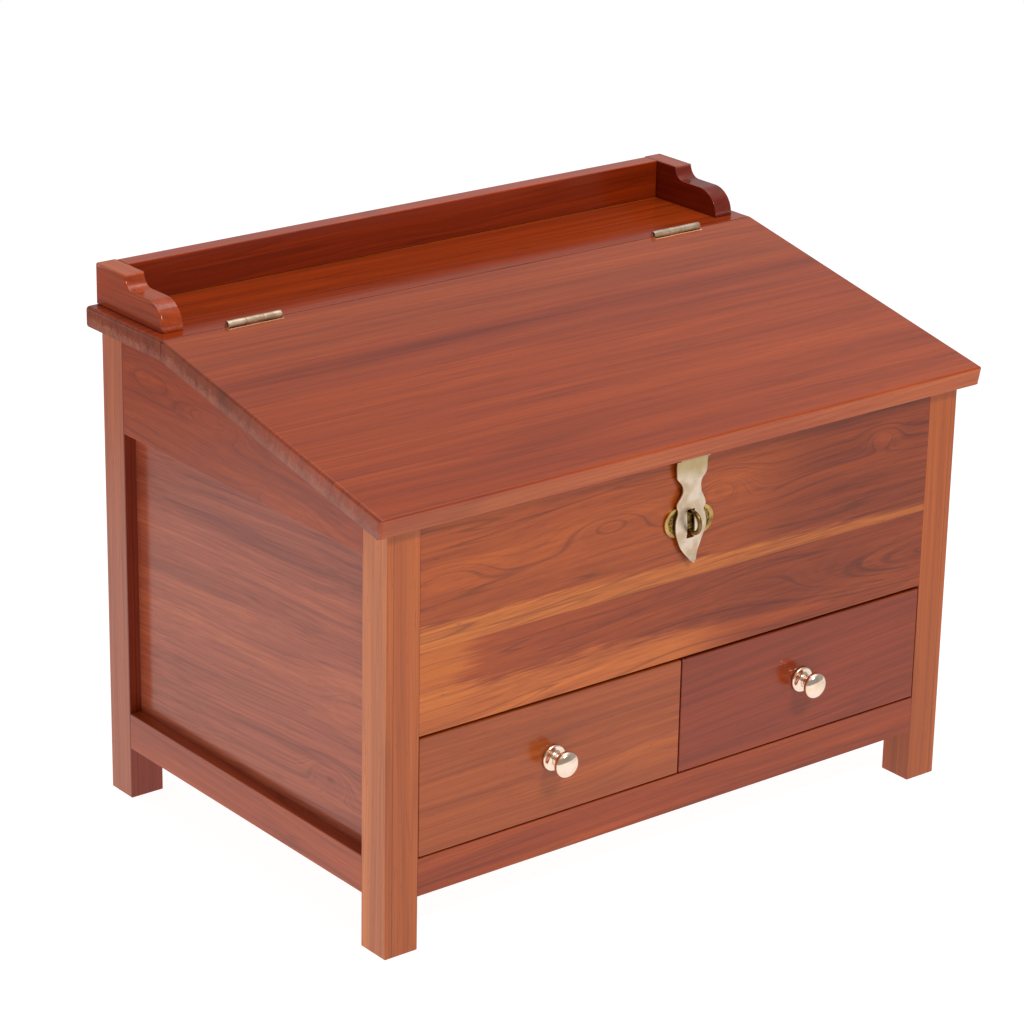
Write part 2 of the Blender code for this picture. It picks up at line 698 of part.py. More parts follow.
def screw_profile(ease, top):
    """A countersunk screw from its point up to its flat head, larger all round by an ease."""
    return [
        (0, -SCREW_LENGTH - ease), (SCREW_POINT_RADIUS + ease, -SCREW_LENGTH - ease),
        (SCREW_SHANK_RADIUS + ease, SCREW_POINT_LENGTH - SCREW_LENGTH - ease),
        (SCREW_SHANK_RADIUS + ease, -SCREW_HEAD_DEPTH), (SCREW_HEAD_RADIUS + ease, -SCREW_HEAD_RIM),
        (SCREW_HEAD_RADIUS + ease, top), (0, top),
    ]


def drive_screw(name, head, out, carrier, held):
    """A screw with its head at a point and facing out, through the pieces that it holds."""
    turn = facing(out)
    for piece in held:
        cut(piece, turned(screw_profile(GAP, CUT_PAST), SCREW_SIDES), head, turn)
    mesh = finish_mesh(name, turned(screw_profile(0, 0), SCREW_SIDES))
    add_object(name, mesh, SATIN_BRASS, carrier, head, turn)


def make_pin(name, radius, length, centre, carrier):
    """A plain round pin along X."""
    profile = [(0, -length / 2), (radius, -length / 2), (radius, length / 2), (0, length / 2)]
    mesh = finish_mesh(name, turned(profile, PIN_SIDES))
    add_object(name, mesh, STEEL, carrier, centre, facing((1, 0, 0)))


def knuckle_columns(length):
    """Places across a hinge where its three knuckles start and end, with running gaps between."""
    half = length / 2
    middle = length / 6
    return [-half, -middle - GAP, -middle, middle, middle + GAP, half]


def make_hinge(word, side):
    """A butt hinge: two leaves with rolled knuckles, the pin, and two screws in each leaf."""
    centre_x = side * (BOARD_HALF - HINGE_INSET - HINGE_LENGTH / 2)
    columns = [centre_x + x for x in knuckle_columns(HINGE_LENGTH)]
    roll = HINGE_RADIUS - HINGE_SHEET / 2
    plate = (LID_JOINT_GAP + HINGE_SHEET) / 2
    clear = HINGE_RADIUS + GAP
    bend = math.degrees(math.acos(plate / roll))
    path = [(plate, -HINGE_LEAF_HEIGHT), (plate, -clear)]
    path += arc((0, 0), roll, -bend, HINGE_ROLL_END, ROLL_FACETS)
    x_low = columns[0] - GAP
    x_high = columns[-1] + GAP
    leaves = (("shelf", 1, (0, 4), SHELF, CARCASS), ("lid", -1, (2,), LID_BOARD, LID))
    for owner, behind, knuckles, board, carrier in leaves:
        bm = rolled_sheet(
            path, HINGE_SHEET, lambda row: columns,
            lambda row, column: row == 0 or column in knuckles,
            lambda x, along, across: (x, JOINT_Y + behind * along, HINGE_Z + across),
        )
        leaf = shaped(f"{word}_hinge_{owner}_leaf", bm, SATIN_BRASS, carrier)
        open_side = JOINT_Y - behind * CUT_PAST
        gain = ordered(open_side, JOINT_Y + behind * (LID_JOINT_GAP / 2 + HINGE_SHEET + GAP))
        notch = ordered(open_side, JOINT_Y + behind * clear)
        above = HINGE_Z + CUT_PAST
        cut_box(board, (x_low, gain[0], HINGE_Z - HINGE_LEAF_HEIGHT - GAP), (x_high, gain[1], above))
        cut_box(board, (x_low, notch[0], HINGE_Z - clear), (x_high, notch[1], above))
        for end, way in (("outer", side), ("inner", -side)):
            head_x = centre_x + way * HINGE_SCREW_SPREAD / 2
            head = (head_x, JOINT_Y + behind * LID_JOINT_GAP / 2, HINGE_Z - HINGE_SCREW_DROP)
            drive_screw(f"{word}_hinge_{owner}_{end}_screw", head, (0, -behind, 0), carrier, (leaf, board))
    radius = HINGE_RADIUS - HINGE_SHEET - GAP
    length = HINGE_LENGTH - 2 * HINGE_PIN_RECESS
    make_pin(f"{word}_hinge_pin", radius, length, (centre_x, JOINT_Y, HINGE_Z), CARCASS)


make_hinge("left", -1)
make_hinge("right", 1)

# Brass hasp: a leaf let into the underside of the lid, and a waisted strap that hangs from it


def smooth_run(knots, steps):
    """Points of a Catmull-Rom curve through knots, with the end knots repeated."""
    padded = [Vector(knot) for knot in [knots[0], *knots, knots[-1]]]
    points = []
    for before, start, end, after in zip(padded, padded[1:], padded[2:], padded[3:]):
        for step in range(steps):
            t = step / steps
            bend = 2 * before - 5 * start + 4 * end - after
            sway = 3 * start - before - 3 * end + after
            points.append((2 * start + (end - before) * t + bend * t ** 2 + sway * t ** 3) / 2)
    return points + [padded[-1]]


def strap_outline():
    """Half widths and drops below the pin, from the strap's top down to its tip."""
    stretches = (
        (HASP_WIDTH, HASP_PLATE_LENGTH), (HASP_WAIST_WIDTH, HASP_WAIST_LENGTH),
        (HASP_SHOULDER_WIDTH, HASP_SHOULDER_LENGTH), (HASP_NICK_WIDTH, HASP_NICK_LENGTH),
        (HASP_BODY_WIDTH, HASP_BODY_LENGTH), (HASP_FLANK_WIDTH, HASP_FLANK_LENGTH),
        (HASP_TIP_WIDTH, HASP_TIP_LENGTH),
    )
    drop = 0
    knots = []
    for width, length in stretches:
        drop += length
        knots.append((width / 2, drop))
    above_shoulder = smooth_run(knots[:3], STRAP_FACETS)
    below_shoulder = smooth_run(knots[2:], STRAP_FACETS)
    return [Vector((HASP_WIDTH / 2, 0))] + above_shoulder[:-1] + below_shoulder


def half_width_at(outline, drop):
    """Half width of the strap at a drop below the pin."""
    for upper, lower in zip(outline, outline[1:]):
        if upper.y <= drop < lower.y:
            share = (drop - upper.y) / (lower.y - upper.y)
            return upper.x + (lower.x - upper.x) * share
    return outline[-1].x


def make_hasp_leaf():
    """The fixed leaf with its outer knuckles, its screws and the pin, in the slope of the lid."""
    frame = Matrix.Translation((0, HASP_Y, HASP_Z)) @ Matrix.Rotation(SLOPE, 4, "X")
    columns = knuckle_columns(HASP_WIDTH)
    roll = HASP_RADIUS - HASP_SHEET / 2
    clear = HASP_RADIUS + GAP
    path = [(HASP_LEAF_LENGTH, roll), (clear, roll)]
    path += arc((0, 0), roll, 90, 90 + HASP_ROLL_TURN, ROLL_FACETS)
    bm = rolled_sheet(
        path, HASP_SHEET, lambda row: columns,
        lambda row, column: row == 0 or column in (0, 4),
        lambda x, along, across: frame @ Vector((x, along, across)),
    )
    leaf = shaped("hasp_leaf", bm, SATIN_BRASS, LID)
    half = HASP_WIDTH / 2 + GAP
    recess = box((-half, -clear, -clear), (half, HASP_LEAF_LENGTH + GAP, clear))
    bmesh.ops.transform(recess, matrix=frame, verts=recess.verts[:])
    cut(LID_BOARD, recess)
    out = frame.to_3x3() @ Vector((0, 0, -1))
    for word, side in (("left", -1), ("right", 1)):
        head = frame @ Vector((side * HASP_SCREW_SPREAD / 2, HASP_SCREW_BACK, HASP_RADIUS - HASP_SHEET))
        drive_screw(f"hasp_{word}_screw", head, out, LID, (leaf, LID_BOARD))
    make_pin("hasp_pin", HASP_RADIUS - HASP_SHEET - GAP, HASP_WIDTH, (0, HASP_Y, HASP_Z), LID)


def make_hasp_strap():
    """The hanging strap, with a slot for the staple and a tip that curls out for the finger."""
    roll = HASP_RADIUS - HASP_SHEET / 2
    outline = strap_outline()
    tip_drop = outline[-1].y
    slot_reach = (STAPLE_SPREAD + STAPLE_WIRE) / 2 + STAPLE_END_ROOM
    slot_top = STAPLE_DROP - slot_reach
    slot_bottom = STAPLE_DROP + slot_reach
    slot_half = STAPLE_WIRE / 2 + STAPLE_SIDE_ROOM
    drops = {point.y for point in outline[1:]} | {slot_top, slot_bottom, HASP_RADIUS + GAP}
    drops = sorted(drops, reverse=True)
    plate_rows = len(drops) - 1
    knuckle_half = knuckle_columns(HASP_WIDTH)[3]

    def columns(row):
        """Edge, knuckle and slot places; the inner ones close up where the strap sharpens."""
        edge = half_width_at(outline, drops[min(row, plate_rows)])
        squeeze = min(1, edge / (HASP_FLANK_WIDTH / 2))
        knuckle = knuckle_half * squeeze
        slot = slot_half * squeeze
        return [-edge, -knuckle, -slot, slot, knuckle, edge]

    def is_metal(row, column):
        """The slot is open, and round the pin only the middle knuckle goes on."""
        if row >= plate_rows:
            return column in (1, 2, 3)
        in_slot = drops[row] <= slot_bottom and drops[row + 1] >= slot_top
        return not (in_slot and column == 2)

    def curl(drop):
        """How far the strap bends forward near its tip, as a parabola."""
        share = max(0, drop - tip_drop + HASP_CURL_LENGTH) / HASP_CURL_LENGTH
        return HASP_CURL_OUT * share ** 2

    path = [(roll - curl(drop), -drop) for drop in drops]
    path += arc((0, 0), roll, 0, HASP_ROLL_TURN, ROLL_FACETS)
    bm = rolled_sheet(path, HASP_SHEET, columns, is_metal,
                      lambda x, along, across: (x, HASP_Y + along, HASP_Z + across))
    shaped("hasp_strap", bm, SATIN_BRASS, HASP)


make_hasp_leaf()
make_hasp_strap()

# Staple: a U of round wire through a waisted plate, driven into the front panel


def make_staple():
    """The plate on the front panel and the wire loop that the strap drops over."""
    mean = (STAPLE_PLATE_WIDTH + STAPLE_PLATE_WAIST) / 4
    swing = (STAPLE_PLATE_WIDTH - STAPLE_PLATE_WAIST) / 4
    outline = []
    for i in range(PLATE_SIDES):
        angle = 2 * math.pi * i / PLATE_SIDES
        radius = mean + swing * math.cos(2 * angle)
        outline.append((radius * math.cos(angle), STAPLE_Z + radius * math.sin(angle)))
    seat = FRONT - GAP
    face = seat - STAPLE_PLATE_THICKNESS
    bm = prism([(x, face, z) for x, z in outline], [(x, seat, z) for x, z in outline])
    plate = shaped("staple_plate", bm, SATIN_BRASS, CARCASS)

    bend = STAPLE_SPREAD / 2
    bend_y = FRONT - STAPLE_REACH + STAPLE_WIRE / 2 + bend
    end_y = FRONT + STAPLE_PRONG
    upper_end = (end_y, STAPLE_Z + bend)
    lower_end = (end_y, STAPLE_Z - bend)
    route = [upper_end] + arc((bend_y, STAPLE_Z), bend, 90, 270, LOOP_FACETS) + [lower_end]
    wire = bpy.data.curves.new("staple", "CURVE")
    wire.dimensions = "3D"
    wire.bevel_depth = STAPLE_WIRE / 2
    wire.bevel_resolution = 2
    wire.use_fill_caps = True
    spline = wire.splines.new("POLY")
    spline.points.add(len(route) - 1)
    for point, (y, z) in zip(spline.points, route):
        point.co = (0, y, z, 1)
    add_object("staple", wire, DARK_BRASS, CARCASS, (0, 0, 0))

    hole = STAPLE_WIRE / 2 + GAP
    through = STAPLE_PRONG + STAPLE_PLATE_THICKNESS + CUT_PAST
    bore = [(0, -GAP), (hole, -GAP), (hole, through), (0, through)]
    for y, z in (upper_end, lower_end):
        for piece in (plate, FRONT_PANEL):
            cut(piece, turned(bore, PIN_SIDES), (0, y, z), facing((0, -1, 0)))


make_staple()

# Drawers: two boxes with flush fronts, each with a turned knob


def knob_profile():
    """A flange, a coved neck and a flat-domed head, from the screw hole to the crown."""
    hole = KNOB_SCREW_RADIUS + GAP
    head_back = KNOB_BASE_THICKNESS + KNOB_NECK_LENGTH
    rim = KNOB_REACH - KNOB_DOME
    swell = (rim - head_back) / 2
    flat = KNOB_HEAD_RADIUS - swell
    profile = [
        (0, KNOB_SCREW_DEPTH + GAP), (hole, KNOB_SCREW_DEPTH + GAP), (hole, GAP),
        (KNOB_BASE_RADIUS, GAP), (KNOB_BASE_RADIUS, KNOB_BASE_THICKNESS / 2),
        (KNOB_BASE_RADIUS - KNOB_BASE_THICKNESS / 2, KNOB_BASE_THICKNESS),
        (KNOB_NECK_RADIUS, KNOB_BASE_THICKNESS + KNOB_COVE), (KNOB_NECK_RADIUS, head_back - KNOB_COVE),
    ]
    profile += arc((flat, head_back + swell), swell, -90, 90, KNOB_HEAD_FACETS)
    for share in KNOB_DOME_RINGS:
        profile.append((flat * share, rim + KNOB_DOME * (1 - share ** 2)))
    return profile + [(0, KNOB_REACH)]


def knob_screw_profile():
    """A round-headed machine screw, from its head inside the drawer to its end in the knob."""
    seat = -DRAWER_FRONT_THICKNESS - GAP
    crown = seat - KNOB_SCREW_HEAD_HEIGHT
    rim = (seat + crown) / 2
    return [
        (0, crown), (KNOB_SCREW_RADIUS, crown), (KNOB_SCREW_HEAD_RADIUS, rim),
        (KNOB_SCREW_HEAD_RADIUS, seat), (KNOB_SCREW_RADIUS, seat),
        (KNOB_SCREW_RADIUS, KNOB_SCREW_DEPTH), (0, KNOB_SCREW_DEPTH),
    ]


def make_drawer(word, side):
    """One drawer: front, two sides, back, bottom, knob and the screw that holds the knob."""
    slide = make_pivot(f"drawer_{word}_slide", (side * LEG_INNER / 2, FRONT, RAIL_TOP), CARCASS)
    behind = FRONT + DRAWER_FRONT_THICKNESS
    rear = BACK_PANEL_FACE - DRAWER_BACK_ROOM
    front_z = (RAIL_TOP + DRAWER_FOOT_GAP, DRAWER_OPENING_TOP - DRAWER_HEAD_GAP)
    side_z = (RAIL_TOP + GAP, DRAWER_OPENING_TOP - DRAWER_SIDE_DROP)
    bottom_z = side_z[0] + DRAWER_BOTTOM_LIFT
    bottom_top = bottom_z + DRAWER_BOTTOM_THICKNESS
    outer_face = side * (LEG_INNER - DRAWER_SIDE_GAP)
    inner_face = side * (DIVIDER_THICKNESS / 2 + DRAWER_SIDE_GAP)
    outer_inside = outer_face - side * DRAWER_SIDE_THICKNESS
    inner_inside = inner_face + side * DRAWER_SIDE_THICKNESS
    front_x = ordered(outer_face, side * DRAWER_CENTRE_GAP / 2)
    inside_x = ordered(outer_inside, inner_inside)
    groove_x = (inside_x[0] - DRAWER_GROOVE, inside_x[1] + DRAWER_GROOVE)
    groove_y = behind - DRAWER_GROOVE
    rebate_y = behind - DRAWER_REBATE

    bm = box((front_x[0], FRONT, front_z[0]), (front_x[1], behind, front_z[1]))
    round_edges(bm, lambda edge: lies_at(edge, 1, FRONT), DRAWER_FRONT_ARRIS)
    front = shaped(f"drawer_{word}_front", bm, WOOD, slide)
    walls = (
        ("outer", outer_face, outer_inside, side * CUT_PAST),
        ("inner", inner_face, inner_inside, -side * GAP),
    )
    for end, face, inside, past in walls:
        x_low, x_high = ordered(face, inside)
        socket = ordered(face + past, inside - math.copysign(GAP, past))
        cut_box(front, (socket[0], rebate_y - GAP, front_z[0] - CUT_PAST),
                (socket[1], behind + CUT_PAST, side_z[1] + GAP))
        bm = box((x_low, rebate_y, side_z[0]), (x_high, rear, side_z[1]))
        board = shaped(f"drawer_{word}_{end}_side", bm, LINING, slide)
        cut_box(board, (groove_x[0] - GAP, rebate_y - CUT_PAST, bottom_z - GAP),
                (groove_x[1] + GAP, rear + CUT_PAST, bottom_top + GAP))
    cut_box(front, (inside_x[0] - GAP, groove_y - GAP, bottom_z - GAP),
            (inside_x[1] + GAP, behind + CUT_PAST, bottom_top + GAP))

    low = (inside_x[0] + GAP, rear - DRAWER_SIDE_THICKNESS, bottom_top + GAP)
    shaped(f"drawer_{word}_back", box(low, (inside_x[1] - GAP, rear, side_z[1])), LINING, slide)

    plan = [
        (inside_x[0] + GAP, groove_y), (inside_x[1] - GAP, groove_y), (inside_x[1] - GAP, behind + GAP),
        (groove_x[1], behind + GAP), (groove_x[1], rear), (groove_x[0], rear),
        (groove_x[0], behind + GAP), (inside_x[0] + GAP, behind + GAP),
    ]
    bottom = prism_along_z(plan, level(bottom_z), level(bottom_top))
    shaped(f"drawer_{word}_bottom", bottom, LINING, slide)

    middle = (sum(front_x) / 2, FRONT, sum(front_z) / 2)
    out = facing((0, -1, 0))
    hole = KNOB_SCREW_RADIUS + GAP
    reach = DRAWER_FRONT_THICKNESS + CUT_PAST
    bore = [(0, -reach), (hole, -reach), (hole, CUT_PAST), (0, CUT_PAST)]
    cut(front, turned(bore, PIN_SIDES), middle, out)
    turned_pieces = (
        (f"drawer_{word}_knob", knob_profile(), KNOB_SIDES, POLISHED_BRASS),
        (f"drawer_{word}_knob_screw", knob_screw_profile(), PIN_SIDES, STEEL),
    )
    for name, profile, sides, material in turned_pieces:
        add_object(name, finish_mesh(name, turned(profile, sides)), material, slide, middle, out)


make_drawer("left", -1)
make_drawer("right", 1)
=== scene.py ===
"""Looks of a slant-top lap desk on short legs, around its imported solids, in metres."""
import math

import bmesh
import bpy
import numpy as np
from mathutils import Matrix, Vector


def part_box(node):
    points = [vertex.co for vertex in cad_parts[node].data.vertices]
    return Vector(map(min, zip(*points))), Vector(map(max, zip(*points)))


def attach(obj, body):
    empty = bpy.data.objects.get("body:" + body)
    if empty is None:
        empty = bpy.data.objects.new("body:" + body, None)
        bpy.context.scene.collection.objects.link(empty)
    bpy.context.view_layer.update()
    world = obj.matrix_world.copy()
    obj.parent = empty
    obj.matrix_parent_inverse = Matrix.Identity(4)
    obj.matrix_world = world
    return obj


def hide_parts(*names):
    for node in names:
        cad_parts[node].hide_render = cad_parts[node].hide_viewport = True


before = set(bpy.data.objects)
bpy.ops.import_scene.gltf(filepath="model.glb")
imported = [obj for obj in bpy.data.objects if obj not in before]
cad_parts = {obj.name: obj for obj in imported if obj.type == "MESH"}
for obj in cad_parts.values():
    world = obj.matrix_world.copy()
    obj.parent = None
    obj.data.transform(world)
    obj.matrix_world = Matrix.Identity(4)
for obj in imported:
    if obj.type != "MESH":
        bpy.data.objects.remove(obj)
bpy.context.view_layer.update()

# Legs: four square posts of rosewood, planed and lacquered, that run from the floor up to the boards.
# Each is glued up from two strips, and the rails are tongued into it. The front pair is cut to the
# slope of the lid that rests on it.

SLOPE = math.radians(11.65)    # of the lid
LEG_ARRIS = 0.0009             # on the outer corner; the others lie flush with rails and panel
FLUSH_ARRIS = 0.0002
FOOT_ARRIS = 0.0006
ARC_FACETS = 5
LEAST_RADIUS = 2e-5
STRAIGHT = 1e-4                # squared sine of two edges' turn, below which they are in line
MERGE = 1e-6                   # points nearer than this become one
SLIVER = 1e-7
SMOOTH_TURN = math.radians(38)   # faces that turn further than this from the given normal stay flat
AXES = {"x": (0, 1, 2), "y": (1, 2, 0), "z": (2, 0, 1)}
MODES = {"Math": "operation", "VectorMath": "operation", "MapRange": "interpolation_type", "Mix": "data_type"}


def linear(code):
    """The linear colour of an sRGB hex code: below a small step a plain share, above it a power of 2.4."""
    values = np.array([int(code[i:i + 2], 16) / 255 for i in (1, 3, 5)])
    curve = np.where(values <= 0.04045, values / 12.92, ((values + 0.055) / 1.055) ** 2.4)
    return (*curve.tolist(), 1.0)


def put(tree, kind, inputs=(), mode=None, out=0, **settings):
    """Add one shader node and give back one of its outputs, or all of them where out is None.

    inputs are values or other nodes' outputs, in order or by name. mode is the setting that says what
    the node works out, and settings are its other properties.
    """
    made = tree.nodes.new("ShaderNode" + kind)
    if mode:
        settings[MODES[kind]] = mode
    for key, value in settings.items():
        setattr(made, key, value)
    for key, value in inputs.items() if isinstance(inputs, dict) else enumerate(inputs):
        if isinstance(value, bpy.types.NodeSocket):
            tree.links.new(value, made.inputs[key])
        else:
            made.inputs[key].default_value = value
    return made.outputs if out is None else made.outputs[out]


def rounded_outline(corners, radii, insets):
    """Points and outward normals of a closed outline, anticlockwise.

    Each edge moves inwards by its inset. A corner with a radius becomes an arc: its centre lies a
    radius from both edges, and its normal turns evenly from one edge's normal to the next's.
    """
    corners = np.asarray(corners, float)
    edge = np.roll(corners, -1, 0) - corners
    edge /= np.linalg.norm(edge, axis=1, keepdims=True)
    leaving = np.column_stack([-edge[:, 1], edge[:, 0]])
    arriving = np.roll(leaving, 1, 0)
    inset_out = np.asarray(insets, float)[:, None]
    inset_in = np.roll(inset_out, 1, 0)
    cosine = (leaving * arriving).sum(1, keepdims=True)
    before = np.roll(edge, 1, 0)
    turn = np.sign(before[:, 0] * edge[:, 1] - before[:, 1] * edge[:, 0])
    turn[turn == 0] = 1
    mitre = (leaving + arriving) / (1 + cosine)
    sine2 = 1 - cosine ** 2
    crossing = inset_in * (arriving - cosine * leaving) + inset_out * (leaving - cosine * arriving)
    shift = np.where(sine2 < STRAIGHT, leaving * inset_out, crossing / np.maximum(sine2, STRAIGHT))
    radii = np.asarray(radii, float)
    mean_inset = ((inset_in + inset_out) / 2)[:, 0]
    radius = np.where(radii > 0, np.maximum(radii - turn * mean_inset, LEAST_RADIUS), 0)
    count = np.where(radii > 0, ARC_FACETS + 1, 1)
    which = np.repeat(np.arange(len(corners)), count)
    step = np.arange(count.sum()) - np.repeat(np.cumsum(count) - count, count)
    share = np.where(count[which] > 1, step / np.maximum(count[which] - 1, 1), 0.5)[:, None]
    normal = arriving[which] * (1 - share) + leaving[which] * share
    normal /= np.linalg.norm(normal, axis=1, keepdims=True)
    reach = (turn * radius)[:, None]
    points = (corners + shift + mitre * reach)[which] - reach[which] * normal
    return points, -normal


def placed(name, data):
    """A new object in the scene."""
    made = bpy.data.objects.new(name, data)
    bpy.context.scene.collection.objects.link(made)
    return made


def merge_doubles(mesh, outwards=False):
    """Merge a mesh's doubled points, drop faces without area and, if asked, turn all faces outwards."""
    bm = bmesh.new()
    bm.from_mesh(mesh)
    bmesh.ops.remove_doubles(bm, verts=bm.verts[:], dist=MERGE)
    bmesh.ops.dissolve_degenerate(bm, edges=bm.edges[:], dist=SLIVER)
    if outwards:
        bmesh.ops.recalc_face_normals(bm, faces=bm.faces[:])
    bm.to_mesh(mesh)
    bm.free()


def read(elements, key, width, kind=np.float32):
    """One property of all of a mesh's elements, as an array with a row for each."""
    found = np.zeros(len(elements) * width, kind)
    elements.foreach_get(key, found)
    return found.reshape(-1, width)


def mesh_piece(name, points, faces, normals):
    """A mesh object with merged doubles, shaded by the given normals wherever they fit their face."""
    mesh = bpy.data.meshes.new(name)
    mesh.from_pydata(points.tolist(), [], faces)
    soft = mesh.attributes.new("soft_normal", "FLOAT_VECTOR", "POINT")
    soft.data.foreach_set("vector", np.ascontiguousarray(normals, np.float32).ravel())
    merge_doubles(mesh)
    corner = read(mesh.loops, "vertex_index", 1, np.int32)[:, 0]
    sides = read(mesh.polygons, "loop_total", 1, np.int32)[:, 0]
    bend = read(mesh.attributes["soft_normal"].data, "vector", 3)[corner]
    flat = np.repeat(read(mesh.polygons, "normal", 3), sides, axis=0)
    fits = (bend * flat).sum(1, keepdims=True) > math.cos(SMOOTH_TURN)
    mesh.polygons.foreach_set("use_smooth", np.ones(len(mesh.polygons), bool))
    mesh.normals_split_custom_set(np.where(fits, bend, flat).tolist())
    mesh.attributes.remove(mesh.attributes["soft_normal"])
    return placed(name, mesh)


def stacked(loops, normals):
    """Points, faces and normals of a solid from its cross-sections: quads between neighbours, capped ends."""
    rows, around = loops.shape[:2]
    row = np.arange(rows - 1)[:, None] * around
    here = np.arange(around)[None]
    there = (here + 1) % around
    quads = np.stack([row + here, row + there, row + around + there, row + around + here], -1)
    faces = quads.reshape(-1, 4).tolist()
    faces.append(np.arange(around)[::-1].tolist())
    faces.append((np.arange(around) + (rows - 1) * around).tolist())
    return loops.reshape(-1, 3), faces, normals.reshape(-1, 3)


def board(corners, radii, low, high, arris, axis, kept_edges=(), spans=()):
    """A board with an outline carried along an axis, and with rounded edges at both ends.

    Towards an end the outline moves inwards as the end face is left: at an angle a, the depth is the
    arris times (1 - cos a) and the inset the arris times (1 - sin a). A pair is the first and the last
    end's arris. Edges in kept_edges stay where they are. spans holds (start, end, other corners) for
    stretches that are notched.
    """
    first, last = arris if isinstance(arris, tuple) else (arris, arris)
    weight = np.ones(len(corners))
    weight[list(kept_edges)] = 0
    angles = np.linspace(0, math.pi / 2, ARC_FACETS)
    sections = [(low + first * (1 - math.cos(a)), first * (1 - math.sin(a)), -math.cos(a), corners)
                for a in angles]
    for start, end, other in spans:
        sections += [(start, 0, 0, corners), (start, 0, 0, other), (end, 0, 0, other), (end, 0, 0, corners)]
    sections += [(high - last * (1 - math.cos(a)), last * (1 - math.sin(a)), math.cos(a), corners)
                 for a in angles[::-1]]
    loops = []
    normals = []
    for place, inset, lean, shape in sections:
        points, outward = rounded_outline(shape, radii, weight * inset)
        ahead = np.full((len(points), 1), 1.0)
        loops.append(np.hstack([ahead * place, points]))
        normals.append(np.hstack([ahead * lean, outward * math.sqrt(max(0, 1 - lean * lean))]))
    order = np.argsort(AXES[axis])
    return stacked(np.array(loops)[:, :, order], np.array(normals)[:, :, order])


def rectangle(low, high):
    """The four corners of an upright rectangle, anticlockwise."""
    return [(low[0], low[1]), (high[0], low[1]), (high[0], high[1]), (low[0], high[1])]


# Rosewood under gloss lacquer: red-orange heartwood with soft streaks and fine dark growth lines, orange
# sapwood, short dark pores, and a clear film that mirrors the white surroundings as a pale haze.
GROWTH_LINE = "#3a1206"
SHADES = ((0.12, (0.32, 0.23, 0.28)), (0.30, (0.58, 0.47, 0.52)), (0.42, (0.84, 0.79, 0.81)),
          (0.50, (1.0, 1.0, 1.0)), (0.58, (1.17, 1.23, 1.16)), (0.70, (1.42, 1.60, 1.40)))
AXIS_TURN = {
    "x": Matrix.Identity(3),
    "y": Matrix.Rotation(-math.pi / 2, 3, "Z"),
    "z": Matrix.Rotation(math.pi / 2, 3, "Y"),
}
BAND_MM = 15.0                 # from one pale or dark band of rings to the next
RING_MM = 2.6
LINE_MM = 7.0
FADE_MM = (260.0, 110.0, 110.0)   # growth lines come and go over this length
BROAD_MM = (520.0, 17.0, 17.0)   # along and across the grain
STREAK_MM = (260.0, 5.0, 5.0)
FIBRE_MM = (150.0, 1.1, 1.1)
PORE_MM = (9.0, 0.9, 0.9)      # a real pore is 0.2 mm wide; it is drawn wide enough to show
WANDER_MM = (230.0, 60.0, 60.0)
LAYER_WEIGHTS = (0.26, 0.32, 0.30, 0.26, 0.30)   # of bands, rings, broad streaks, streaks and fibres
SAP_RAGGED = (1.5, 2, 2)       # how far broad streaks, streaks and fibres fray the edge of sapwood
LINE_HALF = 0.03               # how near to its middle the noise draws a growth line
LINE_DARK = 0.24
PORE_RANGE = (0.62, 0.76)
PORE_DARK = 0.28
PORE_DEPTH = 0.0002
PORE_BUMP = 0.05               # the film all but fills the pores
SEAM_HALF = 0.00025
NOISE_RANGE = (0.3, 0.7)       # where nearly all of a noise lies
FILM_SPREAD = 0.03
LACQUER_IOR = 1.48


def per_metre(sizes_mm):
    """How often a pattern repeats in a metre, from its sizes in millimetres."""
    return tuple(1000 / size for size in sizes_mm)


def new_material(name):
    """A material with nodes, its node tree, and the piece's own coordinates in it."""
    material = bpy.data.materials.new(name)
    material.use_nodes = True
    return material, material.node_tree, put(material.node_tree, "TexCoord", out="Object")


def surface(material, colour, roughness, bump, **constants):
    """Link a material's three patterns to its shader, and set the shader's constants."""
    shader = material.node_tree.nodes["Principled BSDF"]
    for socket, value in (("Base Color", colour), ("Roughness", roughness), ("Normal", bump)):
        material.node_tree.links.new(value, shader.inputs[socket])
    for socket, value in constants.items():
        shader.inputs[socket].default_value = value


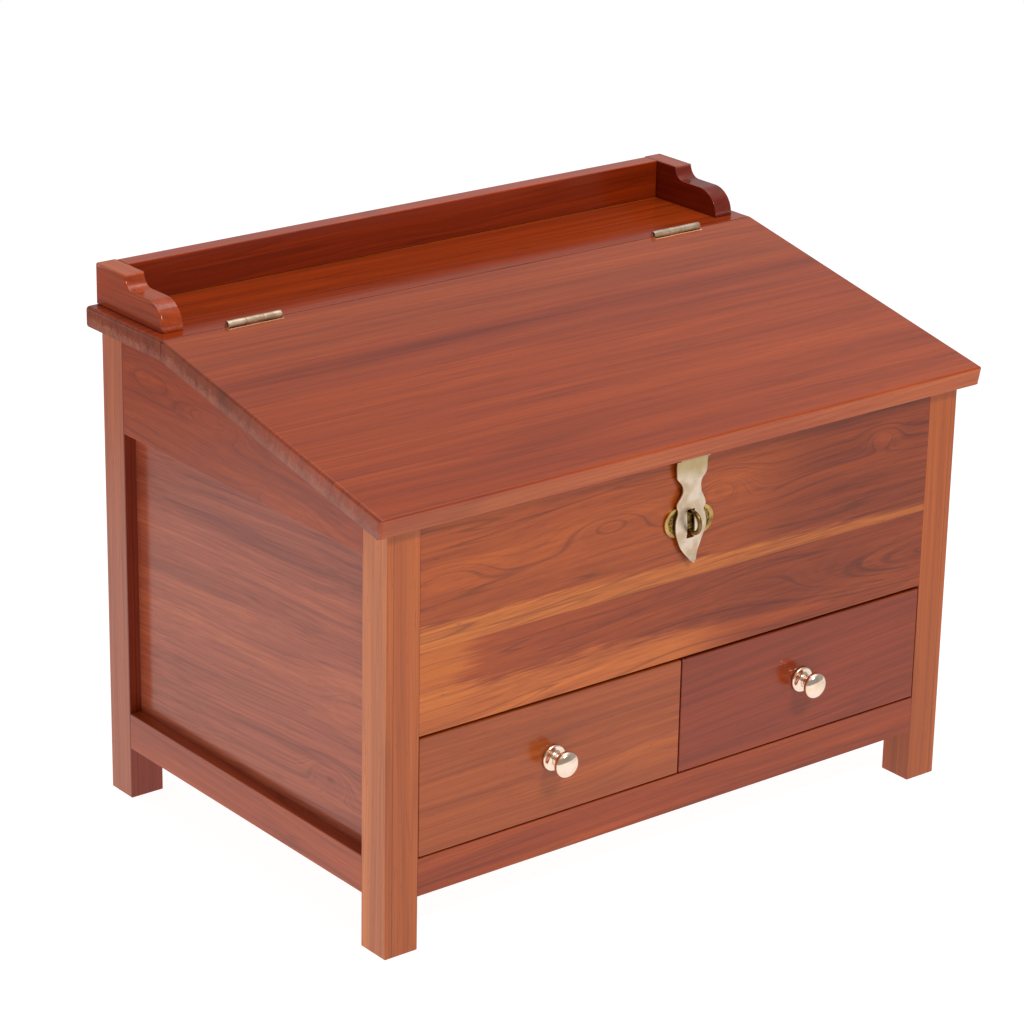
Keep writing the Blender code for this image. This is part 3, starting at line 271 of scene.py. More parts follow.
def rosewood(name, along, heart, lean, tone, planks=(), figures=(), sap=(), wander=0.004,
             bands=1.0, rings=1.0, lines=1.0, streaks=1.0, glue=0.22, roughness=0.2, ior=LACQUER_IOR):
    """Lacquered wood cut from a log, so that faces and end grain agree.

    The log's heart is a line through a point along an axis, leaning by two angles. A ring is a distance
    from that line, after the grain has wandered by slow noise. Past each of the planks, (axis, place,
    heart, tone), the wood comes from another log, and glue is how dark the joint shows. figures are
    (centre, sizes, bulge, glow) of rounded places where rings swell and the wood turns paler or darker,
    and on the left panel a wide dark glow is painted shade. sap is (point, direction, softness, share,
    tone) for another tone past a point, with limits (axis, low, high, fade) after it where it doesn't run
    through: sapwood and wood of other tones, and painted light and shade on single faces. bands, rings,
    lines and streaks are strengths of the layers, and the tone is shaded by the layers' sum.
    """
    material, tree, place = new_material(name)
    split = put(tree, "SeparateXYZ", (place,), out=None)
    turn = Matrix.Rotation(lean[0], 3, "Y") @ Matrix.Rotation(lean[1], 3, "Z") @ AXIS_TURN[along]
    log = put(tree, "Mapping", {"Vector": place, "Location": -(turn @ Vector(heart)),
                                "Rotation": turn.to_euler("XYZ")})
    base = linear(tone)
    seam = None
    last_heart = Vector(heart)
    for axis, spot, other, other_tone in planks:
        past = put(tree, "Math", (split[axis], spot), "GREATER_THAN")
        jump = put(tree, "VectorMath", {0: turn @ (last_heart - Vector(other)), "Scale": past}, "SCALE")
        last_heart = Vector(other)
        log = put(tree, "VectorMath", (log, jump), "ADD")
        base = put(tree, "Mix", {0: past, 6: base, 7: linear(other_tone)}, "RGBA", 2)
        near = put(tree, "Math", (split[axis], spot, SEAM_HALF), "COMPARE")
        seam = near if seam is None else put(tree, "Math", (seam, near), "MAXIMUM")

    slow = put(tree, "VectorMath", (log, per_metre(WANDER_MM)), "MULTIPLY")
    drift = put(tree, "TexNoise", {"Vector": slow, "Scale": 1.0, "Detail": 2.0}, out="Color")
    drift = put(tree, "VectorMath", (drift, (0.5, 0.5, 0.5)), "SUBTRACT")
    drift = put(tree, "VectorMath", (drift, (0, 2 * wander, 2 * wander)), "MULTIPLY")
    grain = put(tree, "VectorMath", (log, drift), "ADD")
    across = put(tree, "VectorMath", (grain, (0, 1, 1)), "MULTIPLY")
    ring = put(tree, "VectorMath", (across,), "LENGTH", "Value")
    shade = 0.5
    for centre, sizes, bulge, glow in figures:
        apart = put(tree, "VectorMath", (place, centre), "SUBTRACT")
        apart = put(tree, "VectorMath", (apart, tuple(1 / size for size in sizes)), "MULTIPLY")
        square = put(tree, "VectorMath", (apart, apart), "DOT_PRODUCT", "Value")
        fall = put(tree, "Math", (square, -1.0), "MULTIPLY")
        fall = put(tree, "Math", (fall,), "EXPONENT")
        if bulge:
            ring = put(tree, "Math", (fall, bulge, ring), "MULTIPLY_ADD")
        if glow:
            shade = put(tree, "Math", (fall, glow, shade), "MULTIPLY_ADD")

    fading = put(tree, "VectorMath", (grain, per_metre(FADE_MM)), "MULTIPLY")
    fading = put(tree, "SeparateXYZ", (fading,), out=None)
    layers = []
    for wide_mm, detail in ((BAND_MM, 1.0), (RING_MM, 3.0), (LINE_MM, 1.0)):
        step = put(tree, "Math", (ring, 1000 / wide_mm), "MULTIPLY")
        spread = put(tree, "CombineXYZ", (step, fading[0], fading[2]))
        layers.append(put(tree, "TexNoise", {"Vector": spread, "Scale": 1.0, "Detail": detail}))
    for sizes_mm in (BROAD_MM, STREAK_MM, FIBRE_MM, PORE_MM):
        finer = put(tree, "VectorMath", (grain, per_metre(sizes_mm)), "MULTIPLY")
        layers.append(put(tree, "TexNoise", {"Vector": finer, "Scale": 1.0, "Detail": 2.0}))
    band, fine, line, broad, streak, fibre, pore = layers
    strengths = (bands, rings, streaks, streaks, streaks)
    for layer, weight, strength in zip((band, fine, broad, streak, fibre), LAYER_WEIGHTS, strengths):
        even = put(tree, "Math", (layer, 0.5), "SUBTRACT")
        shade = put(tree, "Math", (even, weight * strength, shade), "MULTIPLY_ADD")
    ramp = put(tree, "ValToRGB", (shade,))
    stops = ramp.node.color_ramp.elements
    for step, (spot, factor) in enumerate(SHADES):
        stop = stops[step] if step < 2 else stops.new(spot)
        stop.position = spot
        stop.color = (*factor, 1)

    for point, direction, softness, most, side_tone, *limits in sap:
        apart = put(tree, "VectorMath", (place, point), "SUBTRACT")
        depth = put(tree, "VectorMath", (apart, direction), "DOT_PRODUCT", "Value")
        for layer, ragged in zip((broad, streak, fibre), SAP_RAGGED):
            even = put(tree, "Math", (layer, 0.5), "SUBTRACT")
            depth = put(tree, "Math", (even, ragged * softness, depth), "MULTIPLY_ADD")
        pale = put(tree, "MapRange", (depth, -softness, softness, 0, most), "SMOOTHSTEP")
        for axis, low, high, fade in limits:
            for ends in ((low - fade, low), (high + fade, high)):
                kept = put(tree, "MapRange", (split[axis], *ends), "SMOOTHSTEP")
                pale = put(tree, "Math", (pale, kept), "MULTIPLY")
        base = put(tree, "Mix", {0: pale, 6: base, 7: linear(side_tone)}, "RGBA", 2)
    colour = put(tree, "Mix", {0: 1.0, 6: base, 7: ramp}, "RGBA", 2, blend_type="MULTIPLY")

    middle = put(tree, "Math", (line, 0.5), "SUBTRACT")
    middle = put(tree, "Math", (middle,), "ABSOLUTE")
    dark = put(tree, "MapRange", (middle, 0, LINE_HALF, LINE_DARK * rings * lines, 0), "SMOOTHSTEP")
    dash = put(tree, "MapRange", (pore, *PORE_RANGE, 0, PORE_DARK), "SMOOTHSTEP")
    dark = put(tree, "Math", (dark, dash), "MAXIMUM")
    if seam is not None:
        joint = put(tree, "Math", (seam, glue), "MULTIPLY")
        dark = put(tree, "Math", (dark, joint), "MAXIMUM")
    colour = put(tree, "Mix", {0: dark, 6: colour, 7: linear(GROWTH_LINE)}, "RGBA", 2)
    film = put(tree, "MapRange", (streak, *NOISE_RANGE, roughness + FILM_SPREAD, roughness - FILM_SPREAD))
    bump = put(tree, "Bump", {"Height": pore, "Strength": PORE_BUMP, "Distance": PORE_DEPTH}, invert=True)
    surface(material, colour, film, bump, IOR=ior)
    return material


def fit(name, shape, material, node, body="carcass"):
    """Make a piece from points, faces and normals, and set it in the frame in place of its CAD node."""
    piece = mesh_piece(name, *shape)
    piece.data.materials.append(material)
    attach(piece, body)
    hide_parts(node)
    return piece


RECESS_SHADE_TONE = "#7c2108"        # painted shade on the back legs' faces in the recess where the panels lie back
LEG_LOGS = {                   # outer corner, heart of the log, and tones of the wide and the narrow strip; on the left legs the second tone is painted light on the left face
    "front_left_leg": (0, (-0.120, -0.055, 0.15), "#a7511e", "#cd713d"),
    "front_right_leg": (1, (0.310, -0.050, 0.10), "#a44d16", "#ab531f"),
    "back_left_leg": (3, (-0.130, 0.240, 0.20), "#b25d3c", "#b96443"),
    "back_right_leg": (2, (0.130, 0.255, 0.25), "#b05a28", "#a8522a"),
}
STRIP_LOG = (0.03, -0.11, 0.2)   # from the wide strip's heart to the narrow one's
LEFT_STRIP = 0.0050
RIGHT_STRIP = 0.0045
LIT_SIDE_SKIN = (0.0002, 0.0001)   # depth and softness of the painted light on the left legs' left faces
RECESS_SHADE_SKIN = (0.0010, 0.0004)
for node, (outer, heart, wide_tone, strip_and_lit_side_tone) in LEG_LOGS.items():
    low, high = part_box(node)
    radii = [LEG_ARRIS if corner == outer else FLUSH_ARRIS for corner in range(4)]
    points, faces, normals = board(rectangle(low, high), radii, 0.0, high.z, FOOT_ARRIS, "z")
    if node.startswith("front"):
        upper = points[:, 2] > high.z / 2
        points[:, 2] -= upper * math.tan(SLOPE) * (high.y - points[:, 1])
    sides = []
    if "left" in node:
        # painted light: the left face is painted lighter than the front, where the narrow strip keeps the
        # wide strip's tone
        seam_x, second_tone = low.x + LEFT_STRIP, wide_tone
        sides.append(((low.x + LIT_SIDE_SKIN[0], 0, 0), (-1, 0, 0), LIT_SIDE_SKIN[1], 1.0, strip_and_lit_side_tone))
    else:
        seam_x, second_tone = high.x - RIGHT_STRIP, strip_and_lit_side_tone
    if node.startswith("back"):
        # painted shade: the back legs' faces beside the side panels, in the recess, are painted dark
        sides.append(((0, low.y + RECESS_SHADE_SKIN[0], 0), (0, -1, 0), RECESS_SHADE_SKIN[1], 0.85, RECESS_SHADE_TONE))
    strip_heart = Vector(heart) + Vector(STRIP_LOG)
    wood = rosewood(f"lacquered_rosewood_{node}", "z", heart, (0.006, 0.004), wide_tone,
                    [(0, seam_x, strip_heart, second_tone)], sap=sides,
                    wander=0.003, bands=0.5, rings=0.5, streaks=0.8, glue=0.55)
    fit(f"{node}_post", (points, faces, normals), wood, node)

# Rails of the sides and the back: planed rosewood, flush with the legs and tongued into them. The upper
# side rails are wide boards, cut to the slope of the lid in front and level under the shelf behind.

RAIL_ARRIS = 0.0008
GLUE_LINE = 0.00012            # half of the fine joint that shows between glued pieces
GAP = 0.0003                   # play between pieces that only touch
BOARD = 0.013                  # thickness of lid and shelf
JOINT_Y = 0.074                # where the lid meets the shelf
SHELF_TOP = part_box("top_shelf")[1].z
SIDE_SPAN = (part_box("front_left_leg")[1].y + GLUE_LINE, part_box("back_left_leg")[0].y - GLUE_LINE)
CROSS_SPAN = (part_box("front_left_leg")[1].x + GLUE_LINE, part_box("front_right_leg")[0].x - GLUE_LINE)
SIDE_X = 0.2285                # outer faces of the carcass
RAIL_FIGURES = (               # place along and up, sizes along and up, bulge and glow
    (0.035, 0.291, 0.030, 0.007, 0.022, -0.04),
    (0.105, 0.302, 0.040, 0.012, 0.016, 0.02),
    (-0.040, 0.262, 0.040, 0.008, 0.014, 0.02))


def lid_top(y):
    """Height of the lid's upper face: the shelf's height, less the slope times the way from the joint."""
    return SHELF_TOP - (JOINT_Y - y) * math.tan(SLOPE)


def lid_underside(y):
    """Height of the lid's lower face: the upper face, less the board's thickness measured upright."""
    return lid_top(y) - BOARD / math.cos(SLOPE)


def plank(node, axis, arris, end_arris, span=None):
    """A plain board along an axis that fills a node's box, or a span of it, with rounded edges."""
    low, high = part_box(node)
    along, first, second = AXES[axis]
    corners = rectangle((low[first], low[second]), (high[first], high[second]))
    return board(corners, [arris] * 4, *(span or (low[along], high[along])), end_arris, axis)


def wooden(node, shape, *log, body="carcass", **layers):
    """Fit a board of rosewood, cut from a log of its own, in place of a node."""
    fit(f"{node}_board", shape, rosewood(f"lacquered_rosewood_{node}", *log, **layers), node, body)


for word, side in (("left", -1), ("right", 1)):
    node = f"{word}_lower_rail"
    shape = plank(node, "y", RAIL_ARRIS, GLUE_LINE, SIDE_SPAN)
    wooden(node, shape, "y", (side * 0.10, 0.0, 0.25), (0.01, 0.02), "#af4b23")

    node = f"{word}_upper_rail"
    low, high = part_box(node)
    outline = [(SIDE_SPAN[0], low.z), (SIDE_SPAN[1], low.z), (SIDE_SPAN[1], high.z), (JOINT_Y, high.z),
               (SIDE_SPAN[0], lid_underside(SIDE_SPAN[0]) - GAP)]
    shape = board(outline, [FLUSH_ARRIS] * 5, low.x, high.x, RAIL_ARRIS, "x", kept_edges=(1, 2, 3, 4))
    wooden(node, shape, "y", (side * 0.20, 0.02, 0.34), (0.03, 0.06), "#9d3a0c",
           figures=[((side * SIDE_X, y, z), (0.02, long, tall), bulge, glow)
                    for y, z, long, tall, bulge, glow in RAIL_FIGURES])

for node, heart in (("back_lower_rail", (0.0, 0.20, 0.25)), ("back_upper_rail", (0.05, 0.12, 0.33))):
    shape = plank(node, "x", RAIL_ARRIS, GLUE_LINE, CROSS_SPAN)
    wooden(node, shape, "x", heart, (0.01, 0.02), "#a0431a")

# Panels of the sides and the back: thin flat-sawn rosewood boards, loose in the grooves of their frames,
# so that they can swell. Their faces lie 8.5 mm behind the frame.

PANEL_ARRIS = 0.0003
PANELS = {                     # grain, heart of the log, its lean, and figures, one of them painted shade
    "left_panel": ("y", (-0.15, 0.0, 0.40), (-0.07, 0.04), [
        ((-0.22, -0.075, 0.094), (0.02, 0.022, 0.010), 0.024, -0.02),
        # a wide dark band along the top of the left panel: painted shade under the upper rail
        ((-0.22, 0.000, 0.240), (0.05, 0.300, 0.045), 0.0, -0.09),
        ((-0.22, 0.000, 0.142), (0.05, 0.300, 0.018), 0.0, 0.05),
        ((-0.22, -0.100, 0.158), (0.05, 0.040, 0.014), 0.010, 0.12)]),
    "right_panel": ("y", (0.15, 0.02, 0.38), (0.06, 0.04), [
        ((0.22, 0.040, 0.120), (0.02, 0.035, 0.010), 0.022, -0.02)]),
    "back_panel": ("x", (0.0, 0.11, 0.20), (0.04, 0.08), [
        ((-0.07, 0.150, 0.190), (0.04, 0.020, 0.012), 0.022, 0.03)]),
}
for node, (along, heart, lean, figures) in PANELS.items():
    wooden(node, plank(node, along, PANEL_ARRIS, PANEL_ARRIS), along, heart, lean, "#b05639", figures=figures,
           wander=0.007, bands=0.8, rings=0.8)

# Front: a wide panel glued up from two planks, with a pale strip of sapwood along the glue line and
# another at its lower left, and the plain rail under the drawers. Both stand flush with the legs.

FRONT_ARRIS = 0.0005
FRONT_Y = -0.143
FRONT_IOR = 1.45               # the film is thinner here, and mirrors less
SAPWOOD = "#c06826"
PLANK_JOINT = 0.1935
UPPER_PLANK = (2, PLANK_JOINT, 1.0, 0.0002)
LOWER_PLANK = (2, 0.150, PLANK_JOINT, 0.0002)
LEFT_HALF = (0, -1.0, -0.02, 0.08)
FRONT_FIGURES = (              # place along and up, sizes, bulge and glow
    (-0.062, 0.246, (0.050, 0.02, 0.014), 0.020, 0.02),
    (0.026, 0.248, (0.026, 0.02, 0.012), 0.022, 0.05),
    (0.164, 0.253, (0.014, 0.02, 0.007), 0.018, 0.16),
    (-0.185, 0.240, (0.045, 0.02, 0.012), 0.012, 0.05),
    (0.150, 0.238, (0.085, 0.05, 0.030), 0.006, -0.06),
    (0.225, 0.163, (0.115, 0.02, 0.017), 0.044, -0.03),
    (0.130, 0.170, (0.150, 0.05, 0.035), 0.0, -0.05),
    (-0.200, 0.178, (0.110, 0.05, 0.020), 0.0, 0.16))
low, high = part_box("front_panel")
outline = [(low.y, low.z), (high.y, low.z), (high.y, lid_underside(high.y) - GAP),
           (low.y, lid_underside(low.y) - GAP)]
shape = board(outline, [FRONT_ARRIS] * 4, *CROSS_SPAN, GLUE_LINE, "x")
wooden(
    "front_panel", shape, "x", (0.0, -0.110, 0.120), (0.03, 0.04), "#8e390f",
    planks=[(2, PLANK_JOINT, (0.0, -0.110, 0.310), "#994212")],
    figures=[((x, FRONT_Y, z), sizes, bulge, glow) for x, z, sizes, bulge, glow in FRONT_FIGURES],
    sap=[((0.075, 0, 0.24), (1.0, 0, -0.3), 0.030, 0.85, "#853410", UPPER_PLANK),
         ((0, 0, 0.2040), (-0.026, 0, -1.0), 0.0030, 0.85, SAPWOOD, UPPER_PLANK),
         ((0, 0, 0.1600), (-0.030, 0, -1.0), 0.0050, 0.80, "#bb6024", LEFT_HALF),
         ((-0.170, 0, 0), (-1.0, 0, 0), 0.015, 0.35, SAPWOOD, LOWER_PLANK)],
    wander=0.005, bands=0.35, lines=1.6, roughness=0.23, ior=FRONT_IOR,
)
shape = plank("front_rail", "x", FRONT_ARRIS, GLUE_LINE, CROSS_SPAN)
wooden("front_rail", shape, "x", (0.0, -0.10, 0.25), (0.01, 0.02), "#923a14", ior=FRONT_IOR)

# Inside: the compartment's floor, the board between the drawers, their runners, and the drawers' own
# sides, backs and bottoms. Plain planed hardwood, oiled, not lacquered, so it is duller and browner.

LINING = "#9c6a42"
INNER_BOARDS = {               # grain and heart of the log
    "compartment_floor": ("x", (0.0, 0.05, 0.11)),
    "drawer_divider": ("y", (0.03, 0.0, 0.05)),
    "left_runner": ("y", (-0.18, 0.0, 0.02)),
    "centre_runner": ("y", (0.02, 0.0, 0.01)),
    "right_runner": ("y", (0.18, 0.0, 0.02)),
}
for word, side in (("left", -1), ("right", 1)):
    INNER_BOARDS[f"drawer_{word}_outer_side"] = ("y", (side * 0.16, 0.0, 0.05))
    INNER_BOARDS[f"drawer_{word}_inner_side"] = ("y", (side * 0.04, 0.0, 0.06))
    INNER_BOARDS[f"drawer_{word}_back"] = ("x", (side * 0.10, 0.09, 0.06))
    INNER_BOARDS[f"drawer_{word}_bottom"] = ("x", (side * 0.10, 0.02, 0.03))


def dress(node, material):
    """Give a CAD node that stays in sight its material."""
    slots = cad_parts[node].data.materials
    slots.clear()
    slots.append(material)


for node, (along, heart) in INNER_BOARDS.items():
    wood = rosewood(f"oiled_hardwood_{node}", along, heart, (0.02, 0.02), LINING, rings=0.7, roughness=0.5)
    dress(node, wood)

# Drawer fronts: two rosewood boards that close flush with the frame, with a fine gap all round. Their
# front edges are softened with abrasive paper, and the drawer's sides are let into their backs.

DRAWER_ARRIS = 0.0007
DRAWER_LAP = 0.00015           # covers the ends of the drawer's sides
DRAWER_LOGS = {                # heart of the log, its lean, the tone, and a figure
    "left": ((-0.10, -0.10, 0.40), (0.01, 0.01), "#9a4619",
             ((-0.03, FRONT_Y, 0.085), (0.025, 0.02, 0.014), 0.006, 0.05)),
    "right": ((0.22, -0.09, 0.32), (0.04, 0.02), "#853010",
              ((0.185, FRONT_Y, 0.075), (0.03, 0.02, 0.012), 0.006, -0.03)),
}
for word, (heart, lean, tone, figure) in DRAWER_LOGS.items():
    node = f"drawer_{word}_front"
    low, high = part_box(node)
    shape = plank(node, "x", DRAWER_ARRIS, DRAWER_ARRIS, (low.x - DRAWER_LAP, high.x + DRAWER_LAP))
    wood = rosewood(f"lacquered_rosewood_drawer_{word}", "x", heart, lean, tone, figures=[figure],
                    bands=0.6, rings=0.6)
    fit(f"drawer_{word}_face", shape, wood, node, f"drawer_{word}")

# Knobs: turned from brass rod and polished, each with a flange, a hollow neck and a mushroom head. A
# machine screw from inside the drawer holds them.

KNOB_SIDES = 72
KNOB_RUN = 14                  # points in each curved stretch of the profile
KNOB_FLANGE = (0.0085, 0.0024)   # radius and height
KNOB_ROUND = 0.0012            # on the flange's upper edge
KNOB_BREAK = 0.0003            # on sharp edges
KNOB_SEAT = 0.6                # a point on the flange's flat back, as a share of its radius
KNOB_STEP = (0.0004, 0.0001)   # in and up, from the flange to the neck's hollow
KNOB_NECK = (0.0036, 0.0048, 0.0078)   # radius, and where it is straight
KNOB_HEAD = (0.0087, 0.0102, 0.0164, 0.0180)   # radius, back, rim and crown
AXIS_RADIUS = 1e-5             # closes the profile's ends
CLOUD_MM = 9.0
SPECK_MM = 1.1
BRUSH_MM = (6.0, 0.25)         # length and width of a scratch
BRUSH_DEPTH = 0.0001
BRUSH_POLISH = (0.8, 1.25)     # shares of the roughness between scratches and in them
WORN_RANGE = (0.40, 0.68)
STAIN_RAGGED = 0.008
STAIN_SHARE = 0.8


def swept(start, end, bow, count):
    """Points from start to end whose two coordinates turn a quarter: one by sine, the other by cosine."""
    angle = np.linspace(0, math.pi / 2, count)[:, None]
    first, second = (np.sin(angle), 1 - np.cos(angle)) if bow else (1 - np.cos(angle), np.sin(angle))
    start, end = np.array(start), np.array(end)
    return start + (end - start) * np.hstack([first, second])


def arc(centre, radii, angle):
    """Points on a circle or an ellipse at the given angles."""
    return np.column_stack([np.cos(angle), np.sin(angle)]) * radii + centre


def turned(profile, sides, centre):
    """A profile of (radius, reach) turned round the axis that points out of the front at a centre."""
    angle = np.linspace(0, 2 * math.pi, sides, endpoint=False)
    radius, reach = np.asarray(profile).T
    step = np.gradient(np.asarray(profile), axis=0)
    slope = np.stack([step[:, 1], -step[:, 0]], 1)
    slope /= np.linalg.norm(slope, axis=1, keepdims=True)
    round_x, round_z = np.cos(angle), np.sin(angle)
    points = np.stack([centre[0] + radius[:, None] * round_x, centre[1] - reach[:, None] + 0 * round_x,
                       centre[2] + radius[:, None] * round_z], -1)
    normals = np.stack([slope[:, :1] * round_x, -slope[:, 1:] + 0 * round_x, slope[:, :1] * round_z], -1)
    return stacked(points, normals)


def brass(name, bright, dull, roughness, scratch, spots=0.5, spot_range=(0.62, 0.76), along="z", stain=None):
    """Brass whose colour and polish vary softly, with fine drawn scratches and darker spots of tarnish.

    A stain, (low, high, tone), is a height over which the colour turns to another.
    """
    material, tree, place = new_material(name)
    cloud = put(tree, "TexNoise", {"Vector": place, "Scale": 1000 / CLOUD_MM, "Detail": 4.0})
    speck = put(tree, "TexNoise", {"Vector": place, "Scale": 1000 / SPECK_MM, "Detail": 3.0})
    sizes_mm = [BRUSH_MM[0] if axis == along else BRUSH_MM[1] for axis in "xyz"]
    lines = put(tree, "VectorMath", (place, per_metre(sizes_mm)), "MULTIPLY")
    lines = put(tree, "TexNoise", {"Vector": lines, "Scale": 1.0, "Detail": 2.0})
    worn = put(tree, "MapRange", (cloud, *WORN_RANGE), "SMOOTHSTEP")
    spot = put(tree, "MapRange", (speck, *spot_range, 0, spots), "SMOOTHSTEP")
    tarnish = put(tree, "Math", (worn, spot), "MAXIMUM")
    colour = put(tree, "Mix", {0: tarnish, 6: linear(bright), 7: linear(dull)}, "RGBA", 2)
    if stain is not None:
        low, high = (level + STAIN_RAGGED / 2 for level in stain[:2])
        height = put(tree, "SeparateXYZ", (place,), out=2)
        height = put(tree, "Math", (cloud, STAIN_RAGGED, height), "MULTIPLY_ADD")
        share = put(tree, "MapRange", (height, low, high, 0, STAIN_SHARE), "SMOOTHSTEP")
        colour = put(tree, "Mix", {0: share, 6: colour, 7: linear(stain[2])}, "RGBA", 2)
    film = put(tree, "MapRange", (lines, *NOISE_RANGE, *(roughness * share for share in BRUSH_POLISH)))
    bump = put(tree, "Bump", {"Height": lines, "Strength": scratch, "Distance": BRUSH_DEPTH})
    surface(material, colour, film, bump, Metallic=1.0)
    return material


# Polished brass mirrors the white studio nearly whole; drawn steel is greyer and blurs what it mirrors.
polished_brass = brass("polished_turned_brass", "#fbe3d0", "#f3d6b4", 0.13, 0.01, 0.15)
steel = brass("drawn_steel_wire", "#9a968f", "#6f6a62", 0.3, 0.05, along="x")
foot, top = KNOB_FLANGE
neck, neck_start, neck_end = KNOB_NECK
radius, back, rim, crown = KNOB_HEAD
swell = (rim - back) / 2
flat = radius - swell
half_turn = np.linspace(-math.pi / 2, math.pi / 2, 2 * KNOB_RUN)
front_turn = np.linspace(0, math.pi / 2, 2 * KNOB_RUN)
knob_profile = np.vstack([
    [(0.0, GAP), (foot * KNOB_SEAT, GAP), (foot - KNOB_BREAK, GAP), (foot, GAP + KNOB_BREAK)],
    swept((foot, KNOB_ROUND), (foot - KNOB_ROUND, top), False, KNOB_RUN),
    swept((foot - KNOB_ROUND - KNOB_STEP[0], top + KNOB_STEP[1]), (neck, neck_start), True, KNOB_RUN),
    swept((neck, neck_end), (flat - KNOB_BREAK, back), False, KNOB_RUN)[:-1],
    arc((flat, back + swell), swell, half_turn)[:KNOB_RUN],
    arc((0, back + swell), (radius, crown - back - swell), front_turn),
])
knob_profile[[0, -1], 0] = AXIS_RADIUS
for word in ("left", "right"):
    node = f"drawer_{word}_knob"
    low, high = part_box(node)
    middle = (low + high) / 2
    front_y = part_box(f"drawer_{word}_front")[0].y
    shape = turned(knob_profile, KNOB_SIDES, (middle.x, front_y, middle.z))
    fit(f"drawer_{word}_turned_knob", shape, polished_brass, node, f"drawer_{word}")
    dress(f"{node}_screw", steel)

# Top shelf and lid: two wide rosewood boards, rounded on their outer edges, that meet in a fine joint.
# The shelf is screwed down on the carcass; the lid hangs on the hinges and is glued up from three planks.
# Both are let out for the hinge leaves, and the lid's underside for the leaf of the hasp.

BOARD_ROUND = 0.0024
NOSE_TOP_ROUND = 0.0017
NOSE_UNDER_ROUND = 0.0006
JOINT_ROUND = 0.0003
JOINT_HALF = 0.0003            # half of the gap between lid and shelf
BOARD_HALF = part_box("top_shelf")[1].x
HINGE_X = 0.172
HINGE_HALF = 0.0203
LEAF_GAIN = 0.0018             # how deep the leaves are let in, and from which height
LEAF_FOOT = 0.3243
BARREL_NOTCH = 0.0027
BARREL_FOOT = 0.3329
STEP = 0.0003                  # keeps apart points that a notch spreads
GALLERY_FACE = 0.1468          # where the gallery's back rail stands, with a pale bead of glue
GLUE_BEAD = 0.0008
PALE_NOTCH_TONE = "#f0b890"          # a thin pale strip along the lid where it is let out for the barrels
PALE_NOTCH_WIDTH = 0.0012
DARK_END = "#85340f"           # end grain drinks more stain towards the back
PALE_FOOT_TONE = "#a45a43"         # and the ends are paler along the lower edge
PALE_FOOT_HEIGHT = 0.0045
END_DEPTH = 0.0016
PALE_FOOT_DEPTH = 0.001
# painted light: the lid's front face is painted paler and more orange than its top
LIT_NOSE_TONE = "#9f5222"


def end_tones(foot, down):
    """Sides of another tone for both ends of a board: a point on its lower face and the way down there."""
    pale_foot = tuple(Vector(foot) - PALE_FOOT_HEIGHT * Vector(down))
    outer = BOARD_HALF - END_DEPTH
    inner = BOARD_HALF - PALE_FOOT_DEPTH
    dark = [((side * outer, 0, 0), (side, 0, 0), 0.0004, 0.8, DARK_END, (1, 0.0, 1.0, 0.05))
            for side in (-1, 1)]
    pale = [(pale_foot, down, 0.003, 0.9, PALE_FOOT_TONE, (0, *ends, 0.0004))
            for ends in ((-1.0, -inner), (inner, 1.0))]
    return dark + pale


low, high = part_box("top_shelf")
front = JOINT_Y + JOINT_HALF
gain = JOINT_Y + LEAF_GAIN
notch = JOINT_Y + BARREL_NOTCH
plain = [(front, low.z), (high.y, low.z), (high.y, high.z), (front, high.z),
         (front, BARREL_FOOT + STEP), (front, BARREL_FOOT), (front, LEAF_FOOT + STEP), (front, LEAF_FOOT)]
notched = plain[:3] + [(notch, high.z), (notch, BARREL_FOOT), (gain, BARREL_FOOT),
                       (gain, LEAF_FOOT), plain[7]]
radii = [JOINT_ROUND, BOARD_ROUND, BOARD_ROUND, JOINT_ROUND, 0, 0, 0, 0]
spans = [(x - HINGE_HALF, x + HINGE_HALF, notched) for x in (-HINGE_X, HINGE_X)]
shape = board(plain, radii, -BOARD_HALF, BOARD_HALF, BOARD_ROUND, "x", (0, 3, 4, 5, 6, 7), spans)
bead = (1, GALLERY_FACE, GALLERY_FACE + GLUE_BEAD, 0.0001)
wood = rosewood("lacquered_rosewood_shelf", "x", (0.0, 0.50, 0.25), (0.01, 0.01), "#9d380f", roughness=0.16,
                sap=[((0, GALLERY_FACE, 0), (0, 1, 0), 0.00005, 0.7, SAPWOOD, bead)]
                + end_tones((0, 0, low.z), (0, 0, -1)))
fit("top_shelf_board", shape, wood, "top_shelf")

HASP_Y = -0.1472               # the hasp's pin
HASP_Z = 0.274807
RECESS_HALF = 0.01295
RECESS = (-0.0022, 0.0263)     # from the hasp's pin, along the slope
RECESS_TOP = 0.0022
RECESS_FOOT = 0.0006


def on_slope(along, across):
    """A point in the lid's slope: along it and square to it, measured from the pin of the hasp."""
    return (HASP_Y + along * math.cos(SLOPE) - across * math.sin(SLOPE),
            HASP_Z + along * math.sin(SLOPE) + across * math.cos(SLOPE))


